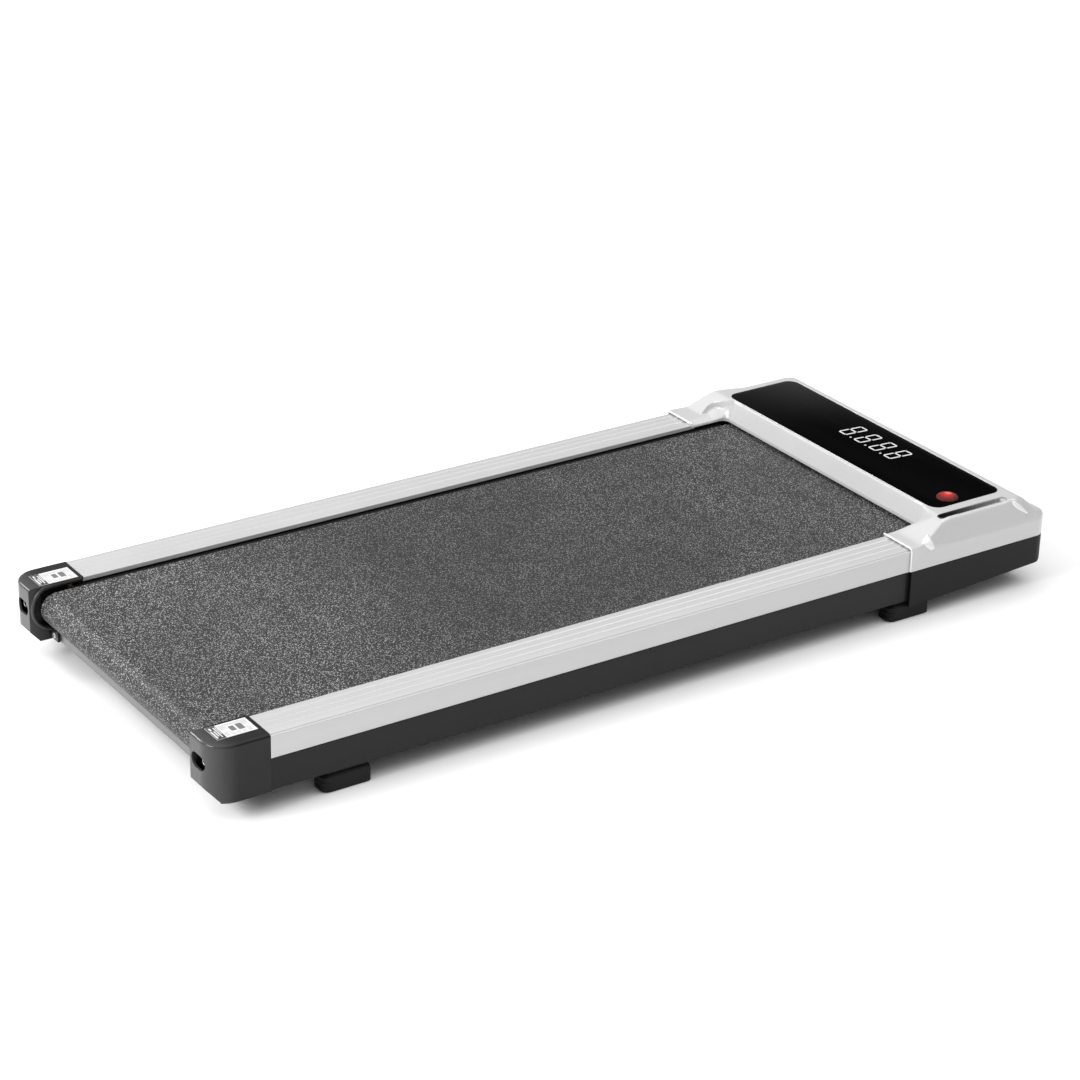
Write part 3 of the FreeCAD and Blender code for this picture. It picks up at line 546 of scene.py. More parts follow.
# skins a stack of rings that have the same number of points
def lofted(name, rings, material=None):
    count = len(rings[0])
    points = [tuple(p) for ring in rings for p in ring]
    faces = []
    for level in range(len(rings) - 1):
        low, high = level * count, (level + 1) * count
        for n in range(count):
            after = (n + 1) % count
            faces.append((low + n, low + after, high + after, high + n))
    faces.append(tuple(reversed(range(count))))
    faces.append(tuple(range(len(points) - count, len(points))))
    mesh = bpy.data.meshes.new(name)
    mesh.from_pydata(points, [], faces)
    work = bmesh.new()
    work.from_mesh(mesh)
    bmesh.ops.remove_doubles(work, verts=work.verts, dist=1e-7)
    bmesh.ops.recalc_face_normals(work, faces=work.faces)
    work.to_mesh(mesh)
    work.free()
    smoothed(mesh)
    return shown(name, mesh, material)


# points on a circle, or on a polygon's outline when sides is given
def circle(radius, z, count=24, sides=0):
    points = []
    for n in range(count):
        angle = 2 * math.pi * n / count
        reach = radius
        if sides:
            part = 2 * math.pi / sides
            reach = radius * math.cos(part / 2) / math.cos(angle % part - part / 2)
        points.append((reach * math.cos(angle), reach * math.sin(angle), z))
    return points


# the outline of a rounded rectangle in plan, anticlockwise
def roundedOutline(low, high, radius, steps=8):
    points = []
    for cx, cy, start in ((high[0] - radius, high[1] - radius, 0), (low[0] + radius, high[1] - radius, 90),
                          (low[0] + radius, low[1] + radius, 180), (high[0] - radius, low[1] + radius, 270)):
        for n in range(steps + 1):
            angle = math.radians(start + 90 * n / steps)
            points.append((cx + radius * math.cos(angle), cy + radius * math.sin(angle)))
    return points


# A flat plate with a softened top edge
def plate(name, outline, low, high, edge, material):
    middle = Vector((sum(p[0] for p in outline), sum(p[1] for p in outline))) / len(outline)

    def ring(inset, z):
        points = []
        for p in outline:
            step = Vector(p) - middle
            points.append((p[0] - math.copysign(min(inset, abs(step.x)), step.x),
                           p[1] - math.copysign(min(inset, abs(step.y)), step.y), z))
        return points

    rings = [ring(0, low), ring(0, high - edge), ring(edge * 0.3, high - edge * 0.3), ring(edge, high)]
    return lofted(name, rings, material)


# several pieces as one
def joined(name, pieces, material):
    work = bmesh.new()
    for piece in pieces:
        work.from_mesh(piece.data)
        bpy.data.objects.remove(piece)
    bmesh.ops.recalc_face_normals(work, faces=work.faces)
    mesh = bpy.data.meshes.new(name)
    work.to_mesh(mesh)
    work.free()
    smoothed(mesh)
    return shown(name, mesh, material)


# A round bead along a path
def swept(name, points, radius, material):
    curve = bpy.data.curves.new(name, "CURVE")
    curve.dimensions = "3D"
    spline = curve.splines.new("POLY")
    spline.points.add(len(points) - 1)
    for place, p in zip(spline.points, points):
        place.co = (*p, 1)
    curve.bevel_depth = radius
    curve.bevel_resolution = 3
    curve.use_fill_caps = True
    rig = bpy.data.objects.new(name, curve)
    scene.collection.objects.link(rig)
    made = settled(rig, name)
    made.data.materials.clear()
    made.data.materials.append(material)
    smoothed(made.data, 50)
    return made


# one tree for everything that repeats: a prototype set at each point of a mesh, then leaned over
def repeatTree():
    tree = bpy.data.node_groups.new("repeatAtPoints", "GeometryNodeTree")
    inputs = {"Places": "NodeSocketGeometry", "Prototype": "NodeSocketObject",
              "Finish": "NodeSocketMaterial", "Lean": "NodeSocketFloat", "Lean From": "NodeSocketFloat"}
    for name, kind in inputs.items():
        tree.interface.new_socket(name=name, in_out="INPUT", socket_type=kind)
    tree.interface.new_socket(name="Geometry", in_out="OUTPUT", socket_type="NodeSocketGeometry")
    bench = Bench(tree)
    given = bench.node("NodeGroupInput")
    turn = bench.node("GeometryNodeInputNamedAttribute", {"data_type": "FLOAT_VECTOR"}, {"Name": "turn"})
    stretch = bench.node("GeometryNodeInputNamedAttribute", {"data_type": "FLOAT_VECTOR"},
                         {"Name": "stretch"})
    model = bench.node("GeometryNodeObjectInfo", {"transform_space": "ORIGINAL"},
                       {"Object": given.outputs[1]})
    spin = bench.node("FunctionNodeEulerToRotation", None, {0: turn.outputs["Attribute"]})
    copies = bench.node("GeometryNodeInstanceOnPoints", None, {
        "Points": given.outputs[0], "Instance": model.outputs["Geometry"],
        "Rotation": spin.outputs[0], "Scale": stretch.outputs["Attribute"]})
    real = bench.node("GeometryNodeRealizeInstances", None, {0: copies.outputs[0]})
    here = bench.wire(bench.node("GeometryNodeInputPosition"))
    height = bench.parts(here)[1] - bench.wire(given, 4)
    slide = bench.joined(height * bench.wire(given, 3), 0, 0)
    leaned = bench.node("GeometryNodeSetPosition", None, {"Geometry": real.outputs[0], "Offset": slide})
    coated = bench.node("GeometryNodeSetMaterial", None, {0: leaned.outputs[0], "Material": given.outputs[2]})
    bench.node("NodeGroupOutput", None, {0: coated.outputs[0]})
    return tree


repeater = repeatTree()


def sockets(tree):
    return {s.name: s.identifier for s in tree.interface.items_tree if s.in_out == "INPUT"}


# sets the prototype at each (point, turn, stretch)
def repeated(name, prototype, places, material, lean=0.0, leanFrom=0.0):
    mesh = bpy.data.meshes.new(name + "Places")
    mesh.from_pydata([tuple(p) for p, turn, stretch in places], [], [])
    for label, index in (("turn", 1), ("stretch", 2)):
        values = mesh.attributes.new(label, "FLOAT_VECTOR", "POINT")
        values.data.foreach_set("vector", [c for place in places for c in place[index]])
    rig = shown(name + "Rig", mesh)
    change = rig.modifiers.new("repeat", "NODES")
    change.node_group = repeater
    names = sockets(repeater)
    for label, value in (("Prototype", prototype), ("Finish", material),
                         ("Lean", lean), ("Lean From", leanFrom)):
        change[names[label]] = value
    made = settled(rig, name)
    bpy.data.objects.remove(prototype)
    return made


# A button head screw with a hexagon socket, its head's seat at the origin, pointing up
def socketScrew(name, headRadius, headHeight, hexRadius, shankRadius, shankLength):
    rings = [circle(shankRadius * 0.8, -shankLength), circle(shankRadius, -shankLength + 0.4 * mm),
             circle(shankRadius, 0), circle(headRadius, 0), circle(headRadius, headHeight * 0.35),
             circle(headRadius * 0.93, headHeight * 0.72), circle(headRadius * 0.78, headHeight * 0.93),
             circle(headRadius * 0.62, headHeight), circle(hexRadius * 1.08, headHeight, 24, 6),
             circle(hexRadius, headHeight * 0.94, 24, 6), circle(hexRadius * 0.96, headHeight * 0.35, 24, 6)]
    return lofted(name, rings)


studio = {"cameraPlace": (2.8764, -1.9759, 1.7450), "azimuth": 55.613, "elevation": 25.207, "roll": 1.442,
          "lens": 102.07, "floorSide": 30.0, "floorTone": 0.95, "sky": 1.50, "horizon": 0.42,
          "lamps": (("key", (0.1, -3.2, 1.9), (0, 0, 0.05), 76.0, 1.3),
                    ("rim", (-2.9, -1.9, 2.0), (0, 0, 0.08), 75.0, 1.1),
                    ("fill", (1.5, 1.9, 2.6), (0, 0.2, 0.05), 14.0, 1.2))}


def setCamera():
    azimuth, elevation, roll = (math.radians(studio[k]) for k in ("azimuth", "elevation", "roll"))
    back = Vector((math.sin(azimuth) * math.cos(elevation), -math.cos(azimuth) * math.cos(elevation),
                   math.sin(elevation)))
    side = (-back).cross(Vector((0, 0, 1))).normalized()
    top = side.cross(-back)
    across = side * math.cos(roll) + top * math.sin(roll)
    up = -side * math.sin(roll) + top * math.cos(roll)
    data = bpy.data.cameras.new("camera")
    data.sensor_width = 36
    data.lens = studio["lens"]
    data.clip_start, data.clip_end = 0.05, 60
    item = bpy.data.objects.new("camera", data)
    turn = Matrix((across, up, back)).transposed().to_4x4()
    item.matrix_world = Matrix.Translation(studio["cameraPlace"]) @ turn
    scene.collection.objects.link(item)
    scene.camera = item


def setStage():
    half = studio["floorSide"] / 2
    mesh = bpy.data.meshes.new("floor")
    corners = [(-half, -half, 0), (half, -half, 0), (half, half, 0), (-half, half, 0)]
    mesh.from_pydata(corners, [], [(0, 1, 2, 3)])
    tone = studio["floorTone"]

    def paper(bench, place):
        soft = bench.noise(place, 3, 2, 0.5)
        return {"Base Color": bench.mixed(soft, (tone - 0.01,) * 3, (tone + 0.01,) * 3)}

    floor = shown("floor", mesh, painted("floorPaper", {"Roughness": 0.85, "Specular IOR Level": 0.1}, paper))
    world = bpy.data.worlds.new("studio")
    scene.world = world
    world.use_nodes = True
    bench = Bench(world.node_tree)
    height = bench.parts(bench.wire(bench.node("ShaderNodeTexCoord"), "Generated"))[2]
    glow = height.eased(0.45, 0.92, studio["horizon"], studio["sky"])
    backdrop = world.node_tree.nodes["Background"]
    bench.feed(backdrop.inputs["Color"], (1.0, 1.0, 1.0))
    bench.feed(backdrop.inputs["Strength"], glow)
    for name, place, aim, power, size in studio["lamps"]:
        data = bpy.data.lights.new(name, "AREA")
        data.shape, data.size, data.energy = "SQUARE", size, power
        lamp = bpy.data.objects.new(name, data)
        lamp.location = place
        lamp.rotation_euler = (Vector(aim) - Vector(place)).to_track_quat("-Z", "Y").to_euler()
        scene.collection.objects.link(lamp)
    scene.view_settings.view_transform = "Standard"


setCamera()
setStage()
print("studio set")


beltShape = {"around": 840, "across": 8, "thickness": 1.7}


# A sheet laid round two equal rollers by a rule, with a map in metres
def beltTree():
    tree = bpy.data.node_groups.new("beltRoundRollers", "GeometryNodeTree")
    for name, kind in (("Geometry", "NodeSocketGeometry"), ("Rear Axle", "NodeSocketFloat"),
                       ("Front Axle", "NodeSocketFloat"), ("Axle Height", "NodeSocketFloat"),
                       ("Radius", "NodeSocketFloat"), ("Width", "NodeSocketFloat"),
                       ("Around", "NodeSocketInt"), ("Across", "NodeSocketInt"),
                       ("Finish", "NodeSocketMaterial")):
        tree.interface.new_socket(name=name, in_out="INPUT", socket_type=kind)
    tree.interface.new_socket(name="Geometry", in_out="OUTPUT", socket_type="NodeSocketGeometry")
    bench = Bench(tree)
    given = bench.node("NodeGroupInput")
    rear, front, height, radius, width = (bench.wire(given, n) for n in range(1, 6))
    sheet = bench.node("GeometryNodeMeshGrid", None, {
        "Size X": 1.0, "Size Y": 1.0, "Vertices X": given.outputs[7], "Vertices Y": given.outputs[6]})
    x, y = bench.parts(bench.wire(bench.node("GeometryNodeInputPosition")))[:2]
    run = front - rear
    halfTurn = radius * math.pi
    along = (y + 0.5) * (run * 2 + halfTurn * 2)
    ahead = along.held(0, run)
    overFront = ((along - run) / radius).held(0, math.pi)
    homeward = (along - run - halfTurn).held(0, run)
    roundRear = ((along - run * 2 - halfTurn) / radius).held(0, math.pi)
    where = bench.joined(x * width,
                         rear + ahead - homeward + (overFront.sine() - roundRear.sine()) * radius,
                         height + (overFront + roundRear).cosine() * radius)
    mapped = bench.node("GeometryNodeStoreNamedAttribute", {"data_type": "FLOAT2", "domain": "CORNER"},
                        {"Geometry": sheet.outputs["Mesh"], "Name": "UVMap",
                         "Value": bench.joined(x * width, along, 0)})
    laid = bench.node("GeometryNodeSetPosition", None, {"Geometry": mapped.outputs[0], "Position": where})
    closed = bench.node("GeometryNodeMergeByDistance", None,
                        {"Geometry": laid.outputs[0], "Distance": 0.00002})
    real = bench.node("GeometryNodeRealizeInstances", None, {0: closed.outputs[0]})
    coated = bench.node("GeometryNodeSetMaterial", None, {0: real.outputs[0], "Material": given.outputs[8]})
    bench.node("NodeGroupOutput", None, {0: coated.outputs[0]})
    return tree


def makeBelt():
    low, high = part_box("running_belt")
    radius = (high.z - low.z) / 2
    tree = beltTree()
    rig = shown("beltRig", bpy.data.meshes.new("beltRig"))
    change = rig.modifiers.new("belt", "NODES")
    change.node_group = tree
    names = sockets(tree)
    rear, front = low.y + radius, high.y - radius
    for label, value in (("Rear Axle", rear), ("Front Axle", front), ("Axle Height", (low.z + high.z) / 2),
                         ("Radius", radius), ("Width", high.x - low.x), ("Around", beltShape["around"]),
                         ("Across", beltShape["across"]), ("Finish", beltVinyl)):
        change[names[label]] = value
    belt = settled(rig, "walkingBelt")
    smoothed(belt.data, 60)
    modified(belt, "SOLIDIFY", thickness=beltShape["thickness"] * mm, offset=-1)
    belt = settled(belt, "walkingBelt")
    middle = (low.z + high.z) / 2
    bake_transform(belt, "frame", "rear_axle", start=(0, front, middle), end=(0, rear, middle))
    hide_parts("running_belt")


makeBelt()
print("belt laid")


railShape = {"wall": 2.4, "ribs": (222.0, 234.0, 246.0), "ribHalf": 3.6, "ribDrop": 1.0, "crown": 0.5,
             "bevelFrom": 250.5, "bevelDrop": 1.1, "groove": 257.0, "grooveDrop": 0.7, "corner": 1.6,
             "innerLeg": 6.0, "shadowStripX": 258.2, "shadowStripZ": 69.3, "shadowStripRadius": 1.5}


# the rail's outline in X and Z, in millimetres
def railProfile(inner, outer, top, bottom):
    xs = np.arange(inner + 1.0, outer - railShape["corner"] + 0.01, 0.4)
    z = top - railShape["crown"] * ((xs - (inner + outer) / 2) / ((outer - inner) / 2)) ** 2
    for rib in railShape["ribs"]:
        away = np.abs(xs - rib) / railShape["ribHalf"]
        z -= railShape["ribDrop"] * np.clip(1.25 - away, 0, 0.25) / 0.25
    bevel = np.clip((xs - railShape["bevelFrom"]) / (outer - railShape["bevelFrom"]), 0, 1)
    z -= railShape["bevelDrop"] * bevel
    z -= railShape["grooveDrop"] * (np.abs(xs - railShape["groove"]) < 0.45)
    edge = z[-1]
    points = [(inner, top - railShape["innerLeg"]), (inner, top - 1.3), (inner + 0.35, top - 0.75)]
    points += list(zip(xs, z))
    for n in range(1, 7):
        angle = math.pi / 2 * (1 - n / 6)
        points.append((outer - railShape["corner"] * (1 - math.cos(angle)),
                       edge - railShape["corner"] * (1 - math.sin(angle))))
    wall = railShape["wall"]
    points += [(outer, bottom + 0.5), (outer - 0.5, bottom), (outer - wall, bottom),
               (outer - wall, top - 4.0), (inner + wall * 0.8, top - 4.0),
               (inner + wall * 0.8, top - railShape["innerLeg"])]
    return points


# draws a flat outline out along Y into a closed bar
def railTree():
    tree = bpy.data.node_groups.new("drawnBar", "GeometryNodeTree")
    for name, kind in (("Outline", "NodeSocketGeometry"), ("Length", "NodeSocketFloat"),
                       ("Finish", "NodeSocketMaterial")):
        tree.interface.new_socket(name=name, in_out="INPUT", socket_type=kind)
    tree.interface.new_socket(name="Geometry", in_out="OUTPUT", socket_type="NodeSocketGeometry")
    bench = Bench(tree)
    given = bench.node("NodeGroupInput")
    drawn = bench.node("GeometryNodeExtrudeMesh", {"mode": "FACES"}, {
        "Mesh": given.outputs[0], "Offset": bench.joined(0, 1, 0),
        "Offset Scale": given.outputs[1], "Individual": False})
    back = bench.node("GeometryNodeFlipFaces", None, {0: given.outputs[0]})
    both = bench.node("GeometryNodeJoinGeometry")
    tree.links.new(drawn.outputs["Mesh"], both.inputs[0])
    tree.links.new(back.outputs[0], both.inputs[0])
    closed = bench.node("GeometryNodeMergeByDistance", None,
                        {"Geometry": both.outputs[0], "Distance": 0.000005})
    real = bench.node("GeometryNodeRealizeInstances", None, {0: closed.outputs[0]})
    coated = bench.node("GeometryNodeSetMaterial", None, {0: real.outputs[0], "Material": given.outputs[2]})
    bench.node("NodeGroupOutput", None, {0: coated.outputs[0]})
    return tree


def makeRails():
    tree = railTree()
    names = sockets(tree)
    for side, node in ((1, "foot_rail_right"), (-1, "foot_rail_left")):
        low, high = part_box(node)
        inner = min(abs(low.x), abs(high.x)) / mm
        outer = max(abs(low.x), abs(high.x)) / mm
        points = railProfile(inner, outer, high.z / mm, low.z / mm)
        mesh = bpy.data.meshes.new("railOutline")
        order = points if side < 0 else points[::-1]
        section = [(side * px * mm, low.y, pz * mm) for px, pz in order]
        mesh.from_pydata(section, [], [tuple(range(len(order)))])
        rig = shown("railRig", mesh)
        change = rig.modifiers.new("bar", "NODES")
        change.node_group = tree
        change[names["Length"]] = high.y - low.y
        change[names["Finish"]] = railSkin
        rail = settled(rig, "footRail_right" if side > 0 else "footRail_left")
        work = bmesh.new()
        work.from_mesh(rail.data)
        bmesh.ops.recalc_face_normals(work, faces=work.faces)
        work.to_mesh(rail.data)
        work.free()
        smoothed(rail.data, 25)
        fitted(rail, "frame", "anodised_silver", node)
        # a thin black strip under the rail's outer edge stands in for the shadow line there: painted shadow
        shadowStripX, shadowStripZ = side * railShape["shadowStripX"] * mm, railShape["shadowStripZ"] * mm
        line = [(shadowStripX, low.y + 1 * mm, shadowStripZ), (shadowStripX, high.y - 6 * mm, shadowStripZ)]
        shadowStrip = swept("railSeal_right" if side > 0 else "railSeal_left", line,
                     railShape["shadowStripRadius"] * mm, rubber)
        fitted(shadowStrip, "frame", "black_rubber")


makeRails()
print("rails drawn")


hoodShape = {
    "top": 125.0, "flap": 103.0, "lip": 439.0, "notchHalf": 206.0, "notchRadius": 10.0,
    "lipStep": 1.2, "bandSlope": 2.5, "innerSlope": 0.95, "lipRound": 2.0,
    "ridgeAt": (382, 398, 415, 590, 613), "ridge": (103.6, 101.0, 94.0, 92.0, 101.5),
    "slopeRight": 2.36, "rampRun": (394, 450),
    "nose": 101.5, "noseFrom": 600.0, "noseSlope": 1.02, "corner": 18.0, "edgeRound": 1.3,
    "wall": 2.6, "skirt": 70.2, "beltSide": 96.6,
}


def softMin(a, b, width):
    gap = np.clip(width - np.abs(a - b), 0, None)
    return np.minimum(a, b) - gap * gap / (4 * width)


def softMax(a, b, width):
    return -softMin(-a, -b, width)


def eased(value, low, high):
    t = np.clip((value - low) / (high - low), 0, 1)
    return t * t * (3 - 2 * t)


# how far a surface falls away near an edge of this radius
def rounding(reach, radius):
    inside = np.clip(radius - reach, 0, radius)
    return radius - np.sqrt(radius * radius - inside * inside)


# the hood's top surface over the plan, in millimetres
def hoodHeight(x, y, half, front):
    shape = hoodShape
    side = np.abs(x)
    radius = shape["notchRadius"]
    dx = np.clip(side - (shape["notchHalf"] - radius), 0, None)
    dy = np.clip(y - (shape["lip"] - radius), 0, None)
    reach = np.hypot(dx, dy) - radius
    middle = eased(np.arctan2(dy, dx) / (math.pi / 2), 0.15, 0.85)
    slope = shape["innerSlope"] + (shape["bandSlope"] - shape["innerSlope"]) * middle
    ledge = shape["flap"] - 0.9 * middle + 0.15 * np.clip(reach, 0, 4)
    edge = softMax(ledge, shape["flap"] + slope * (reach - shape["lipStep"]), 1.2)
    ramp = shape["flap"] + (shape["top"] - shape["flap"]) * eased(y, *shape["rampRun"]) + 12 * middle
    ramp = ramp + np.clip(y - shape["rampRun"][1], 0, None)
    near = softMin(edge, ramp, 7.0)
    # the far shoulder stands over a hollow that sweeps round towards the lip
    wallLine = -225 + 29 * (np.clip(y - 424, 0, 24) / 22) ** 2
    shoulder = softMin(np.interp(y, (402, 409, 425, 446, 455), (100, 102.3, 112.5, 125, 132)),
                       100 + 3.2 * (wallLine - x), 2.0)
    scoop = np.interp(y, (382, 420, 438, 452, 470), (103, 103.6, 112, 125, 140)) + 14 * middle
    hollow = softMin(edge, scoop, 14.0)
    far = softMax(hollow, shoulder, 1.6)
    height = np.where(x > 0, near, far)
    qx, qy = side - (half - shape["corner"]), y - (front - shape["corner"])
    inset = shape["corner"] - (np.hypot(np.clip(qx, 0, None), np.clip(qy, 0, None)) +
                               np.minimum(np.maximum(qx, qy), 0))
    leftSlope = np.interp(y, (430, 490), (2.3, 1.22))
    sideSlope = np.where(x > 0, np.interp(y, (410, 440), (3.6, shape["slopeRight"])), leftSlope)
    flank = np.interp(y, shape["ridgeAt"], shape["ridge"]) + sideSlope * inset
    nose = softMax(shape["nose"] + 0 * y, shape["nose"] + shape["noseSlope"] * (shape["noseFrom"] - y), 4.0)
    rim = softMin(nose, flank, 15.0 * eased(y, 545, 575) + 1.5)
    height = softMin(height, shape["top"] + 0 * y, 3.0)
    height = softMin(height, rim, 3.0 + 5.0 * eased(y, 412, 434))
    # a low swelling at the front end of the near flank
    along, across = (x - 254.5) * 0.6 + (y - 570) * 0.8, (x - 254.5) * 0.8 - (y - 570) * 0.6
    height = height + 3.0 * np.exp(-(along / 8) ** 2 - (across / 2.8) ** 2)
    # a fine raised line where the flank turns down into the skirt
    height = height + 0.6 * np.exp(-((inset - 1.6) / 0.9) ** 2) * eased(y, 400, 420)
    return height - rounding(reach, shape["lipRound"]) - rounding(inset, shape["edgeRound"])


# grid lines from (start, end, step) runs
def spread(*runs):
    lines = []
    for start, end, step in runs:
        count = max(1, round(abs(end - start) / step))
        lines += list(np.linspace(start, end, count, endpoint=False))
    lines.append(runs[-1][1])
    return np.array(lines)


# opens a rounded hole in a flat grid: its nearest points move on to the outline
def opened(flat, faces, low, high, corner):
    middle, reach = (low + high) / 2, (high - low) / 2 - corner
    fromMiddle = flat - middle
    beyond = np.abs(fromMiddle) - reach
    outside = np.clip(beyond, 0, None)
    length = np.hypot(*outside.T)
    away = length + np.minimum(beyond.max(1), 0) - corner
    steps = np.where(length[:, None] > 1e-6, outside / np.maximum(length, 1e-6)[:, None],
                     np.stack([beyond[:, 0] >= beyond[:, 1], beyond[:, 0] < beyond[:, 1]], -1).astype(float))
    steps *= np.sign(fromMiddle)
    cell = np.zeros(len(flat))
    for face in faces:
        a, b, c, d = (flat[n] for n in (face + face[-1:])[:4])
        size = max(abs(a - b).max(), abs(b - c).max(), abs(c - d).max())
        if abs(away[face[0]]) < 8:
            for n in face:
                cell[n] = max(cell[n], size * 0.55)
    near = np.abs(away) < cell
    flat[near] -= steps[near] * away[near][:, None]
    away[near] = 0
    kept = []
    for face in faces:
        reached = [away[n] for n in face]
        if min(reached) >= 0:
            if max(reached) > 0 or len(face) == 3:
                kept.append(face)
            continue
        for n in range(len(face)):
            corners = tuple(face[(n + k) % len(face)] for k in (0, 1, 2))
            if len(face) == 4 and away[corners[1]] > 0 and away[face[(n + 3) % 4]] < 0:
                kept.append(corners)
    return kept


def makeHood():
    shape = hoodShape
    low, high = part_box("front_hood")
    half, front, rear = high.x / mm, high.y / mm, low.y / mm
    right = spread((0, 184, 4), (184, 206, 1.1), (206, 257, 1.0), (257, half - 1.6, 0.7),
                   (half - 1.6, half, 0.27))
    xs = np.concatenate([-right[::-1][:-1], right])
    lip = shape["lip"]
    ys = spread((rear, rear + 18, 2), (rear + 18, lip - 3, 1.0), (lip - 3, lip, 1.0), (lip, lip + 14, 0.6),
                (lip + 14, 470, 1.1), (470, 546, 3), (546, front - 3, 1.1), (front - 3, front, 0.3))
    lipRow = int(np.argmin(np.abs(ys - shape["lip"])))
    left = int(np.argmin(np.abs(xs + shape["notchHalf"])))
    rightColumn = int(np.argmin(np.abs(xs - shape["notchHalf"])))
    gridX, gridY = np.meshgrid(xs, ys)
    away = np.abs(gridX) - (shape["notchHalf"] - shape["notchRadius"])
    radius = shape["notchRadius"]
    arc = radius - np.sqrt(np.clip(radius ** 2 - np.clip(away, 0, radius) ** 2, 0, None))
    bend = np.where(away <= radius, arc, radius * np.clip(1 - (away - radius) / 34, 0, 1) ** 2)
    gridY = gridY - bend * np.exp(-((gridY - shape["lip"]) / 14) ** 2)
    corner = np.clip(gridY - (front - shape["corner"]), 0, shape["corner"])
    width = half - shape["corner"] + np.sqrt(np.clip(shape["corner"] ** 2 - corner ** 2, 0, None))
    gridX = gridX * width / half
    gridZ = hoodHeight(gridX, gridY, half, front)
    rows, columns = gridX.shape
    kept = lambda row, column: row >= lipRow or column < left or column >= rightColumn
    faces = [(r * columns + c, r * columns + c + 1, (r + 1) * columns + c + 1, (r + 1) * columns + c)
             for r in range(rows - 1) for c in range(columns - 1) if kept(r, c)]
    flat = np.stack([gridX, gridY], -1).reshape(-1, 2)
    for node, gap, corner in (("display_window", 0.3, 16.0), ("slot_tray", 0.0, 5.7)):
        lowHole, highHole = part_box(node)
        faces = opened(flat, faces, np.array(lowHole[:2]) / mm - gap,
                       np.array(highHole[:2]) / mm + gap, corner)
    points = [(x, y, z) for (x, y), z in zip(flat, gridZ.reshape(-1))]

    # hangs a wall from a run of grid points down to a level
    def dropped(path, bottom, shares):
        above = path
        for share in shares:
            below = []
            for start in path:
                x, y, z = points[start]
                points.append((x, y, z + (bottom - z) * share))
                below.append(len(points) - 1)
            faces.extend((above[n], below[n], below[n + 1], above[n + 1]) for n in range(len(path) - 1))
            above = below

    outer = [r * columns for r in range(rows)] + [(rows - 1) * columns + c for c in range(1, columns)]
    outer += [r * columns + columns - 1 for r in range(rows - 2, -1, -1)]
    notch = [r * columns + left for r in range(lipRow + 1)]
    notch += [lipRow * columns + c for c in range(left + 1, rightColumn + 1)]
    notch += [r * columns + rightColumn for r in range(lipRow - 1, -1, -1)]
    dropped(outer, shape["skirt"], (0.03, 0.35, 0.7, 0.97, 1.0))
    dropped(notch[::-1], shape["beltSide"], (0.2, 0.6, 1.0))
    mesh = bpy.data.meshes.new("hood")
    mesh.from_pydata([(x * mm, y * mm, z * mm) for x, y, z in points], [], faces)
    work = bmesh.new()
    work.from_mesh(mesh)
    loose = [v for v in work.verts if not v.link_faces]
    bmesh.ops.delete(work, geom=loose, context="VERTS")
    bmesh.ops.recalc_face_normals(work, faces=work.faces)
    if sum(f.normal.z * f.calc_area() for f in work.faces) < 0:
        bmesh.ops.reverse_faces(work, faces=work.faces)
    work.to_mesh(mesh)
    work.free()
    hood = shown("hood", mesh, silverShell)
    modified(hood, "SOLIDIFY", thickness=shape["wall"] * mm, offset=-1)
    hood = settled(hood, "hood")
    smoothed(hood.data, 32)
    fitted(hood, "frame", "silver_plastic", "front_hood")
    for side, end in ((1, "right"), (-1, "left")):
        edge = [(206.6, 101.9), (207.4, 102.5), (257.6, 102.6), (259.9, 101.8), (261.4, 99.4), (261.5, 71.2)]
        path = [(side * x * mm, low.y - 0.1 * mm, z * mm) for x, z in edge]
        # the flap edge bead takes the paler plastic, a painted highlight
        fitted(swept(f"flapEdge_{end}", path, 1.3 * mm, paintedHighlightShell), "frame", "silver_plastic")


# A closed pad that swells out of a surface: its outline, the way out, and how far it swells
def domed(name, outline, outward, height, material):
    outline = np.array(outline, dtype=float)
    outward = np.array(outward) / np.linalg.norm(outward)
    middle = outline.mean(axis=0)
    rings = []
    for share, lift in ((0.05, -1.6), (1.0, -1.6), (1.0, 0.0), (0.88, 0.45), (0.7, 0.75), (0.4, 0.95),
                        (0.05, 1.0)):
        ring = middle + (outline - middle) * share + outward * (lift * height if lift > 0 else lift)
        rings.append([tuple(point * mm) for point in ring])
    return lofted(name, rings, material)


foldShape = {
    "corners": ((256.4, 400.4, 103.2), (250.6, 414.6, 111.0), (262.2, 418.6, 95.4), (262.2, 411.6, 93.2)),
    "bends": ((253.2, 406.6, 107.8), (257.6, 418.0, 103.0), (262.4, 415.2, 93.6), (259.6, 406.0, 98.2)),
    "shift": (1.6, -0.5, 1.1), "shoulderOut": (0.8, -0.25, 0.55), "shoulderRise": 3.0,
    "middle": (253.9, 569.0, 112.8), "along": (0.26, 0.72, -0.64), "across": (-0.28, 0.69, 0.66),
    "halfLength": 15.0, "halfWidth": 3.6, "taper": 1.2, "cornerOut": (0.92, 0.0, 0.39), "cornerRise": 1.6,
}


